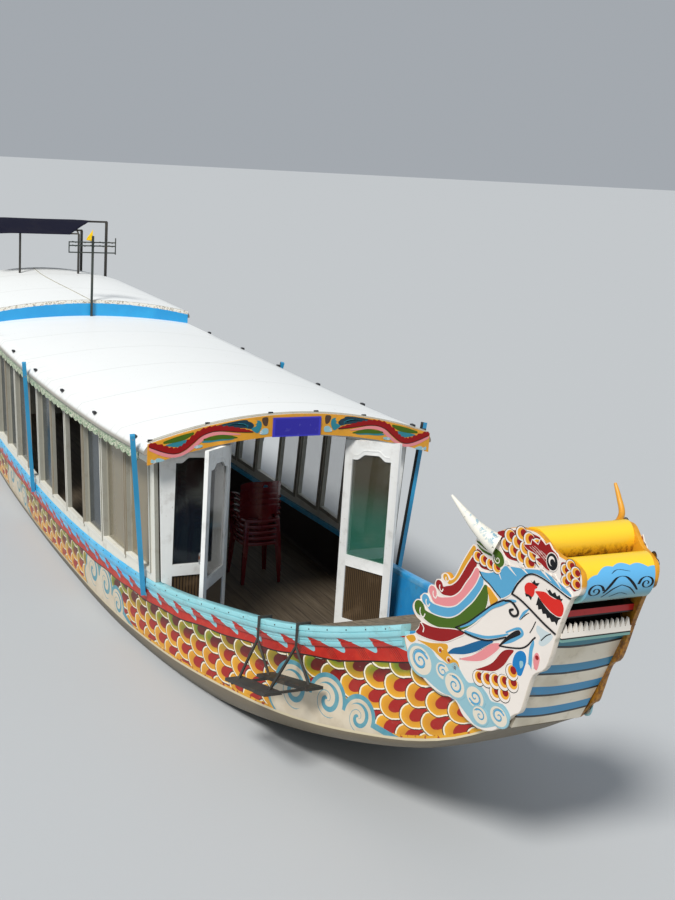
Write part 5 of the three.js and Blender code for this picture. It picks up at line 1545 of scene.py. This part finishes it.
def paintFascia(side, name):
    art = Painting(lambda a, b, lift: onFascia(a, b, lift, side))
    art.fill(drop([(0.87, 2.172), (0.735, 2.2), (0.625, 2.218), (0.5, 2.231), (0.455, 2.22), (0.405, 2.185),
                   (0.425, 2.15), (0.48, 2.16), (0.555, 2.165), (0.635, 2.17), (0.735, 2.176)]), "artNavy", 1)
    for k in range(6):
        art.stroke(drop([(0.7 - 0.03 * k, 2.19 + 0.003 * k, 0.004), (0.58 - 0.02 * k, 2.2 - 0.002 * k, 0.006),
                         (0.46, 2.185 - 0.007 * k, 0.003)]), "artTeal", 2)
    art.fill(drop([(0.405, 2.205), (0.365, 2.22), (0.335, 2.2), (0.335, 2.155), (0.365, 2.11), (0.415, 2.135),
                   (0.425, 2.155), (0.38, 2.175)]), "artTeal", 2)
    art.fill(drop([(0.465, 2.222), (0.4, 2.228), (0.375, 2.205), (0.4, 2.185), (0.425, 2.205)]), "artOrange",
             3)
    art.fill(drop([(0.33, 2.235), (0.275, 2.24), (0.28, 2.17), (0.315, 2.18)]), "brownWood", 1)
    art.stroke(drop([(1.21, 2.095, 0.02), (1.115, 2.108, 0.044), (1.03, 2.125, 0.046), (0.96, 2.148, 0.022)]),
               "artGreen", 2)
    art.fill(drop([(1.2, 2.07), (1.09, 2.09), (0.985, 2.1), (1.02, 2.055), (1.09, 2.045)]), "artTeal", 2)
    art.stroke(drop([(0.855, 2.088, 0.016), (0.78, 2.093, 0.034), (0.695, 2.099, 0.038), (0.62, 2.092, 0.03),
                     (0.555, 2.085, 0.007)]), "artGreen", 3)
    art.fill(drop([(0.875, 2.065), (0.85, 2.08), (0.765, 2.087), (0.675, 2.087), (0.585, 2.08), (0.62, 2.068),
                   (0.725, 2.066), (0.805, 2.06)]), "artTeal", 2)
    art.stroke(drop([(1.33, 2.052, 0.026), (1.24, 2.01, 0.034), (1.165, 1.982, 0.03), (1.085, 1.975, 0.026),
                     (1.01, 2.0, 0.03), (0.94, 2.045, 0.036), (0.87, 2.1, 0.036), (0.8, 2.127, 0.03),
                     (0.71, 2.132, 0.026), (0.62, 2.12, 0.02), (0.53, 2.11, 0.007)]), "artPink", 3)
    wave = [(1.33, 2.082, 0.036), (1.245, 2.05, 0.046), (1.165, 2.022, 0.044), (1.095, 2.015, 0.044),
            (1.025, 2.042, 0.05), (0.96, 2.092, 0.058), (0.89, 2.142, 0.052), (0.81, 2.168, 0.044),
            (0.73, 2.173, 0.04), (0.64, 2.163, 0.036), (0.55, 2.148, 0.03), (0.46, 2.134, 0.018),
            (0.41, 2.125, 0.004)]
    art.stroke(drop(wave), "artDarkRed", 4, jag=0.5)
    art.stroke(drop([(a, b - w * 0.52, 0.005) for a, b, w in wave]), "artBlack", 5)
    for shape in ([(1.32, 1.965), (1.29, 1.955), (1.26, 1.97), (1.205, 1.95), (1.215, 1.94), (1.275, 1.935),
                   (1.32, 1.935)], [(0.945, 2.03), (0.92, 2.045), (0.875, 2.045), (0.87, 2.03), (0.91, 2.02)],
                  [(0.345, 2.1), (0.335, 2.13), (0.305, 2.15), (0.27, 2.14), (0.275, 2.1)]):
        art.fill(drop(shape), "artPale", 4)
        [(a, fall)] = drop(shape[1:2])
        art.stroke(curl((a, fall + 0.012), 0.013, 0.1, 1.2, 0.004), "artWhite", 5)
    art.make("fascia_painting_" + name, "boat", "fascia_paint")


for name, side in hands.items():
    paintFascia(side, name)
print("fascia painted")


# CAD nodes that keep their shape
planks = {"wide": 0.135, "long": 1.9, "cabinAft": -5.86, "cabinFore": 3.3}


def hullInside():
    finish = Finish("hullInside")
    along, across, _ = finish.axes
    level = finish.facing(2).size().rise(0.6, 0.8)
    plank = across / planks["wide"]
    gap = (plank.fraction() - 0.5).size().rise(0.47, 0.49)
    cell = finish.join(plank.floor(), (along / planks["long"]).floor())
    grain = finish.noise(2.0, 5.0, 0.6, stretch=(1.2, 22.0, 22.0))
    cabin = (1 - along.rise(planks["cabinFore"] - 0.06, planks["cabinFore"])) \
        * along.rise(planks["cabinAft"], planks["cabinAft"] + 0.06)
    blue = finish.mix(finish.noise(3.0, 5.0).rise(0.4, 0.7) * 0.5, "#1d93d6", "#4fb0de")
    blue = finish.mix(finish.noise(8.0, 5.0, 0.7).rise(0.55, 0.75) * 0.4, blue, "#57503f")
    # inside the cabin the sides turn dark brown: painted shade of the roofed cabin
    blue = finish.mix(cabin, blue, "#241a13")
    finish.tone = finish.ramp(grain, [(0.25, "#4b4236"), (0.5, "#7d705c"), (0.75, "#9d927d")])
    finish.over(finish.chance(cell) * 0.4, "#5a4d3c")
    finish.over(gap, "#1a1612")
    # the cabin floor darkened: painted shade
    finish.over(cabin * 0.55, "#2a2119")
    finish.over(1 - level, blue)
    finish.paint(0.65, grain - gap * 1.5 * level, 0.4, 0.004)


def chestStripes():  # bands with a black lower line, each at its own height
    finish = Finish("chestStripes", Coat_Weight=0.2)
    _, across, height = finish.axes
    bend = height - across * across * 0.35 + (finish.noise(4.0, 1.0) - 0.5) * 0.01
    finish.tone = finish.mix(finish.noise(3.0, 4.0).rise(0.4, 0.7), "#e6dcc8", "#d2c5ab")
    blue = finish.mix(height.rise(1.55, 1.85), "#3388b6", "#2a7688")
    for middle in (1.867, 1.66, 1.49, 1.324):
        away = bend - middle
        finish.over(1 - away.size().rise(0.031, 0.034), blue)
        finish.over(1 - (away + 0.038).size().rise(0.007, 0.009), "#101214")
    worn = finish.noise(12.0, 5.0, 0.7)
    finish.over(worn.rise(0.55, 0.7) * 0.25, "#8f8168")
    finish.paint(0.4, worn, 0.3, 0.003)


def jawPaint():
    finish = Finish("jawPaint", Coat_Weight=0.2)
    height = finish.axes[2]
    finish.tone = finish.mix(height.rise(1.92, 1.923), "#6f9a93", "#101214")
    finish.over(height.rise(1.929, 1.931), "#e9e2d8")
    worn = finish.noise(14.0, 5.0, 0.7)
    finish.over(worn.rise(0.6, 0.72) * 0.3, "#8f8168")
    # faces turned up, the jaw's top inside the mouth, black: painted shade
    finish.over(finish.facing(2).rise(0.7, 0.8), "#0d0d0f")
    finish.paint(0.4, worn, 0.3, 0.003)


def tonguePaint():  # red, with a black top and a black lower edge
    finish = Finish("tonguePaint", Coat_Weight=0.2)
    worn = finish.noise(14.0, 5.0, 0.7)
    finish.tone = finish.mix(worn.rise(0.5, 0.7) * 0.4, "#c01a1c", "#8f1214")
    # the black top and black lower edge are painted shade inside the mouth
    finish.over(finish.facing(2).rise(0.5, 0.7).most(1 - finish.axes[2].rise(2.052, 2.055)), "#0d0d0f")
    finish.paint(0.4, worn, 0.2)


def platePaint():
    finish = Finish("platePaint", Coat_Weight=0.3)
    _, across, height = finish.axes
    rim = across.size().rise(0.2, 0.203).most((height - 2.153).size().rise(0.069, 0.072))
    finish.tone = finish.mix(rim, "#1a0c9a", "#2c2ab8")
    worn = finish.noise(18.0, 5.0, 0.7)
    finish.over(worn.rise(0.62, 0.68) * 0.5, "#5b58b0")
    finish.paint(worn * 0.2 + 0.25, worn, 0.2)


def aftBoardPaint():
    finish = Finish("aftBoardPaint", Coat_Weight=0.15)
    _, across, height = finish.axes
    rough = finish.noise(16.0, 5.0, 0.7)
    finish.tone = finish.mix(finish.noise(2.0, 4.0).rise(0.35, 0.7), "#1c95d3", "#2aa6df")
    top = (height + across * across * 0.0826 + rough * 0.03 - 2.262).rise(0.0, 0.003)
    finish.over(top, finish.mix((rough * 5).fraction().rise(0.74, 0.84), "#e8e4d9", "#8a7f6c"))
    finish.over(rough.rise(0.66, 0.7) * 0.6, "#5a6a70")
    finish.paint(rough * 0.2 + 0.3, rough, 0.3, 0.003)


for makeFinish in (hullInside, chestStripes, jawPaint, tonguePaint, platePaint, aftBoardPaint):
    makeFinish()
kept = {
    "hull": "hullInside", "helm_deck": "deckWood", "number_plate": "platePaint",
    "aft_fascia": "aftBoardPaint", "front_fascia": "mustard", "side_wall_port": "wallPaint",
    "side_wall_starboard": "wallPaint", "aft_wall_port": "wallPaint", "aft_wall_starboard": "wallPaint",
    "aft_bulkhead": "frameCream", "front_header": "frameWhite", "pole_starboard_front": "poleBlue",
    "pole_port_front": "poleShade", "pole_starboard_aft": "poleBlue", "pole_port_aft": "poleShade",
    "tongue": "tonguePaint", "lower_jaw": "jawPaint", "chest_panel": "chestStripes",
    "tail_board_port": "cream", "tail_board_starboard": "cream", "boarding_step": "darkMetal",
    "tv_aerial": "mastGreen", "aerial_lead": "leadGrey", "canopy_frame": "darkMetal",
    "helm_seat": "brownWood", "steering_column": "brownWood", "steering_wheel": "black",
    "engine_block": "engineGreen", "propeller_shaft": "greyMetal", "propeller": "propellerBronze",
    "rudder_bearing": "greyMetal", "rudder": "darkMetal",
}
for name, paint in kept.items():
    nodes[name].data.materials.clear()
    nodes[name].data.materials.append(finishes[paint])
print("kept nodes dressed")


# Stacked chairs: one moulded chair, repeated up the stack
chair = {"seat": 0.425, "half": 0.2, "lean": 8, "floor": 0.24, "rise": 0.058, "wall": 0.004,
         "leg": 0.042, "sheet": 0.0035,
         "turns": [-62, -50, -38, -26, -14, -6, 6, 14, 26, 38, 50, 62],
         "levels": [0.395, 0.44, 0.485, 0.56, 0.64, 0.7, 0.735, 0.775, 0.81],
         "marks": [-1, -0.9, -0.5, 0, 0.5, 0.9, 1]}
# An arm of a chair: x, y, z along its middle
armLine = [(0.1, 0.19, 0.615), (0.02, 0.205, 0.632), (-0.08, 0.208, 0.63), (-0.15, 0.203, 0.6),
           (-0.178, 0.195, 0.52), (-0.176, 0.188, 0.425)]
stacks = {"near": ((1.86, 0.33), 5), "far": ((1.15, 0.02), 6)}


def chairShell(at):  # the seat and the slotted back, as one sheet
    shape = Shape()
    seat, half, turns, levels = chair["seat"], chair["half"], chair["turns"], chair["levels"]

    def onBack(degrees, z):
        turn = math.radians(degrees)
        z = seat + (z - seat) * (1 - 0.16 * (abs(degrees) / 62) ** 3) if z > seat else z
        reach = half + max(0.0, z - seat) * math.tan(math.radians(chair["lean"]))
        x, y = reach * math.cos(turn) - 0.045, reach * math.sin(turn)
        return Vector((at[0] + x, at[1] + y, chair["floor"] + z))

    for i in range(len(turns) - 1):
        for j in range(len(levels) - 1):
            slot = i in (2, 3, 7, 8) and 2 <= j <= 4
            hand = i == 5 and j == 6
            if not slot and not hand:
                corners = [(i, j), (i + 1, j), (i + 1, j + 1), (i, j + 1)]
                shape.add([onBack(turns[a], levels[b]) for a, b in corners], [(0, 1, 2, 3)])

    def onSeat(s, t, sink=0.0):
        reach = half * (1 - 0.13 * s * s * t * t) * (1 + sink * 0.4)
        z = seat - 0.014 * (1 - s * s) * (1 - t * t) - 0.012 * max(0.0, -s) ** 4 - sink
        return Vector((at[0] + reach * s, at[1] + reach * t, chair["floor"] + z))

    for a0, a1 in zip(chair["marks"], chair["marks"][1:]):
        for b0, b1 in zip(chair["marks"], chair["marks"][1:]):
            shape.add([onSeat(a0, b0), onSeat(a1, b0), onSeat(a1, b1), onSeat(a0, b1)], [(0, 1, 2, 3)])
        for edge in (-1, 1):
            for p, q in (((a0, edge), (a1, edge)), ((edge, a0), (edge, a1))):
                shape.add([onSeat(*p), onSeat(*q), onSeat(*q, 0.035), onSeat(*p, 0.035)], [(0, 1, 2, 3)])
    return shape


def chairLimbs(at):  # folded legs and the arms
    shape = Shape()
    floor, thin = chair["floor"], chair["sheet"]
    for sx in (-1, 1):
        for sy in (-1, 1):
            rings = []
            for share in (0.0, 1.0):
                x, y, z = 0.204 - 0.03 * share, 0.206 - 0.028 * share, floor + 0.405 * share
                w = chair["leg"] * (0.7 + 0.3 * share)
                fold = [(0, 0), (w, 0), (w, thin), (thin, thin), (thin, w), (0, w)]
                rings.append([(at[0] + (x - a) * sx, at[1] + (y - b) * sy, z) for a, b in fold])
            shape.loft(rings)
    path = smoothLine(armLine, 5)
    for sy in (-1, 1):
        rings = []
        for i, p in enumerate(path):
            ahead = (path[min(i + 1, len(path) - 1)] - path[max(i - 1, 0)]).normalized()
            rise = Vector((-ahead.z, 0, ahead.x)).normalized() * 0.006
            width = 0.022 if i < 16 else 0.016
            ring = [(-width, -1), (width, -1), (width, 1), (-width, 1)]
            rings.append([Vector((at[0], at[1], floor)) + Vector((p.x, (p.y + b) * sy, p.z)) + rise * face
                          for b, face in ring])
        shape.loft(rings)
    return shape


for name, (at, count) in stacks.items():
    shell = chairShell(at).build("chair_shells_" + name, ["chairRed"])
    thicken(shell, chair["wall"], levels=2)
    limbs = chairLimbs(at).build("chair_limbs_" + name, ["chairRed"], bevel=0.001)
    for piece, stands in ((shell, "chair_stack_" + name), (limbs, None)):
        runTree(piece, stackUp, {"Count": count, "Rise": chair["rise"], "Finish": finishes["chairRed"]})
        piece.data.shade_smooth()
        piece.data.set_sharp_from_angle(angle=math.radians(40))
        dress(piece, "boat", "chair_plastic", stands)
print("chairs stacked")


# Canopy cover and pennant: sheets of cloth
def cloth(name, top, under, weave, dirt):
    finish = Finish(name, Specular_IOR_Level=0.2)
    x, y, z = finish.axes
    threads = (x * weave).sine() * ((y + z) * weave).sine()
    cloudy = finish.noise(4.0, 5.0, 0.65)
    # faces turned down take the darker under colour: painted shade of the underside
    finish.tone = finish.mix(1 - finish.facing(2).rise(-0.1, 0.1), top, under)
    finish.over(cloudy.rise(0.45, 0.75) * dirt, "#77705f")
    finish.paint(cloudy * 0.1 + 0.75, threads * 0.4 + cloudy)


cloth("coverCloth", "#090a22", "#06060c", 1500, 0.04)
cloth("flagCloth", "#f0c81c", "#e5bb18", 3000, 0.1)
# Cover: x, height, port edge, starboard edge
coverLines = [(-7.11, 2.84, 0.69, -0.69), (-7.02, 2.867, 0.7, -0.7), (-6.6, 2.969, 0.74, -0.82),
              (-6.13, 3.077, 0.73, -0.9), (-5.56, 2.939, 0.32, -0.93), (-5.48, 2.919, 0.27, -0.9)]
cover = {"bows": (-7.02, -6.13, -5.56), "lift": 0.003, "sag": 0.012, "droop": 0.02, "thick": 0.0015,
         "columns": 36, "hem": 0.0045}


def makeCover():
    shape = Shape()
    rows = smoothLine([(x, z, port) for x, z, port, _ in coverLines], 7)
    others = smoothLine([(x, z, starboard) for x, z, _, starboard in coverLines], 7)
    rings, cut = [], 0.0
    for i, (row, other) in enumerate(zip(rows, others)):
        x, z, port, starboard = row.x, row.y, row.z, other.z
        share = 0.0
        for aft, fore in zip(cover["bows"], cover["bows"][1:]):
            if aft <= x <= fore:
                share = math.sin(math.pi * (x - aft) / (fore - aft))
        ring = []
        for k in range(cover["columns"] + 1):
            y = starboard + (port - starboard) * k / cover["columns"]
            inside = max(0.0, 1 - (y / 0.48) ** 2)
            outside = max(0.0, abs(y) - 0.5)
            crease = 0.003 * math.sin(17 * x + 11 * y) * min(1.0, outside * 6)
            fall = cover["sag"] * share * inside + cover["droop"] * outside * 2
            ring.append((x, y, z + cover["lift"] - fall + crease))
        rings.append(ring)
        if i:
            cut += (row - rows[i - 1]).to_2d().length * (port - starboard)
    shape.loft(rings, capped=False, around=False)
    piece = shape.make("cover_sheet", "boat", ["coverCloth"], "cover_fabric", "canopy_cover",
                       wall=(cover["thick"], 0), smooth=60)
    near, far = [ring[0] for ring in rings[-2:0:-1]], [ring[-1] for ring in rings[1:-1]]
    edge = rings[0] + far + rings[-1][::-1] + near
    hem = Shape()
    hem.tube(edge + edge[:1], cover["hem"], 8)
    border = hem.make("cover_hem", "boat", ["coverCloth"], "cover_fabric", smooth=60)
    length = sum((b - a).to_2d().length for a, b in zip(rows, rows[1:]))


makeCover()
# Pennant: hoist x, foot and head of the hoist, the fly's x and height
pennant = {"hoist": -3.2385, "foot": 3.04, "head": 3.19, "fly": -3.326, "swing": -0.062,
           "flyZ": 3.05, "flyHigh": 0.004, "thick": 0.0008}


def makePennant():
    shape = Shape()
    rings = []
    steps = 14
    for i in range(steps + 1):
        t = i / steps
        x = pennant["hoist"] + (pennant["fly"] - pennant["hoist"]) * t
        swing = pennant["swing"] * t
        low = pennant["foot"] + (pennant["flyZ"] - pennant["foot"]) * t
        high = pennant["head"] + (pennant["flyZ"] + pennant["flyHigh"] - pennant["head"]) * t
        wave = 0.006 * t * math.sin(7 * t)
        rings.append([(x, swing + wave + 0.002 * t * math.sin(5 * s),
                       low + (high - low) * s / 8) for s in range(9)])
    shape.loft(rings, capped=False, around=False)
    piece = shape.make("pennant_sheet", "boat", ["flagCloth"], "flag_fabric", "pennant",
                       wall=(pennant["thick"], 0), smooth=60)
    high = pennant["head"] - pennant["foot"]


makePennant()
print("cloth hung")


# Tail boards: flames on cream, like the head's mane
tail = {"gap": 0.666, "splay": 0.2, "tip": 0.1, "thick": 0.026}
tailOutline = [(-6.95, 0.76), (-7.3, 0.64), (-7.78, 0.72), (-7.9, 0.93), (-8.06, 1.06), (-7.95, 1.25),
               (-8.08, 1.5), (-7.93, 1.64), (-8.02, 1.93), (-7.8, 2.06), (-7.62, 1.9), (-7.56, 1.64),
               (-7.38, 1.48), (-7.3, 1.24), (-7.12, 1.08)]
tailStrands = [
    ("artRed", [(-7.2, 0.98, 0.07), (-7.38, 1.16, 0.11), (-7.56, 1.4, 0.12), (-7.68, 1.66, 0.1),
                (-7.78, 1.92, 0.05)]),
    ("artGold", [(-7.3, 0.93, 0.06), (-7.52, 1.1, 0.1), (-7.7, 1.32, 0.1), (-7.82, 1.56, 0.07),
                 (-7.92, 1.86, 0.03)]),
    ("artSky", [(-7.4, 0.87, 0.05), (-7.62, 1.0, 0.09), (-7.8, 1.2, 0.08), (-7.92, 1.38, 0.06),
                (-8.0, 1.5, 0.03)]),
    ("artGreen", [(-7.5, 0.82, 0.04), (-7.7, 0.88, 0.07), (-7.88, 1.0, 0.05), (-7.98, 1.06, 0.02)]),
]


def paintTail(side, name):
    def place(x, z, lift):
        y = tail["gap"] + tail["splay"] * (x + 7.9) + tail["tip"] * (z - 1.105) + tail["thick"] + lift
        return Vector((x, y * side, z))

    art = Painting(place)
    middle = (-7.6, 1.3)
    rim = [(x + (middle[0] - x) * 0.06, max(z + (middle[1] - z) * 0.05, 0.8)) for x, z in tailOutline]
    art.fill(rim, "artOrange", 0.6, 1)
    inset = [(x + (middle[0] - x) * 0.1, max(z + (middle[1] - z) * 0.09, 0.82)) for x, z in tailOutline]
    art.fill(inset, "artWhite", 1, 1)
    for k, (paint, line) in enumerate(tailStrands):
        art.stroke([(x, z, w + 0.02) for x, z, w in line], "artBlack", 1.6 + k)
        art.stroke([(x, z, w + 0.012) for x, z, w in line], "artWhite", 1.8 + k)
        art.stroke(line, paint, 2.2 + k)
    for centre, size in (((-7.14, 0.9), 0.07), ((-7.26, 0.84), 0.05), ((-7.02, 0.85), 0.04)):
        art.fill(disc(centre, size), "artSky", 5.6, 1)
        art.fill(disc(centre, size * 0.78), "artCream", 6, 1)
        art.stroke(curl(centre, size * 0.6, 0.1, 1.3, size * 0.16), "artSky", 6.6)
    art.make("tail_painting_" + name, "boat", "cream_paint")


for name, side in hands.items():
    paintTail(side, name)
print("tail painted")


# Floor and light
studio = {"floor": 120, "paint": "#b9bdc0", "sky": "#dfe6ee", "skyPower": 0.5, "sunPower": 3.3,
          "sunWidth": 14, "sunColour": (1.0, 0.965, 0.92), "sunTurn": (42, 0, 42)}


def makeStage():
    half = studio["floor"]
    mesh = bpy.data.meshes.new("floor")
    mesh.from_pydata([(-half, -half, 0), (half, -half, 0), (half, half, 0), (-half, half, 0)], [],
                     [(0, 1, 2, 3)])
    finish = Finish("floorPaint", Roughness=0.75)
    finish.tone = studio["paint"]
    mesh.materials.append(finish.paint())
    addObject("floor", mesh)
    world = bpy.data.worlds.new("studio")
    bpy.context.scene.world = world
    world.use_nodes = True
    back = world.node_tree.nodes["Background"]
    back.inputs[0].default_value = linear(studio["sky"])
    back.inputs[1].default_value = studio["skyPower"]
    sun = bpy.data.lights.new("key", "SUN")
    sun.energy = studio["sunPower"]
    sun.angle = math.radians(studio["sunWidth"])
    sun.color = studio["sunColour"]
    addObject("key", sun).rotation_euler = [math.radians(turn) for turn in studio["sunTurn"]]


makeStage()
bpy.context.scene.view_settings.view_transform = "Standard"
print("stage set")
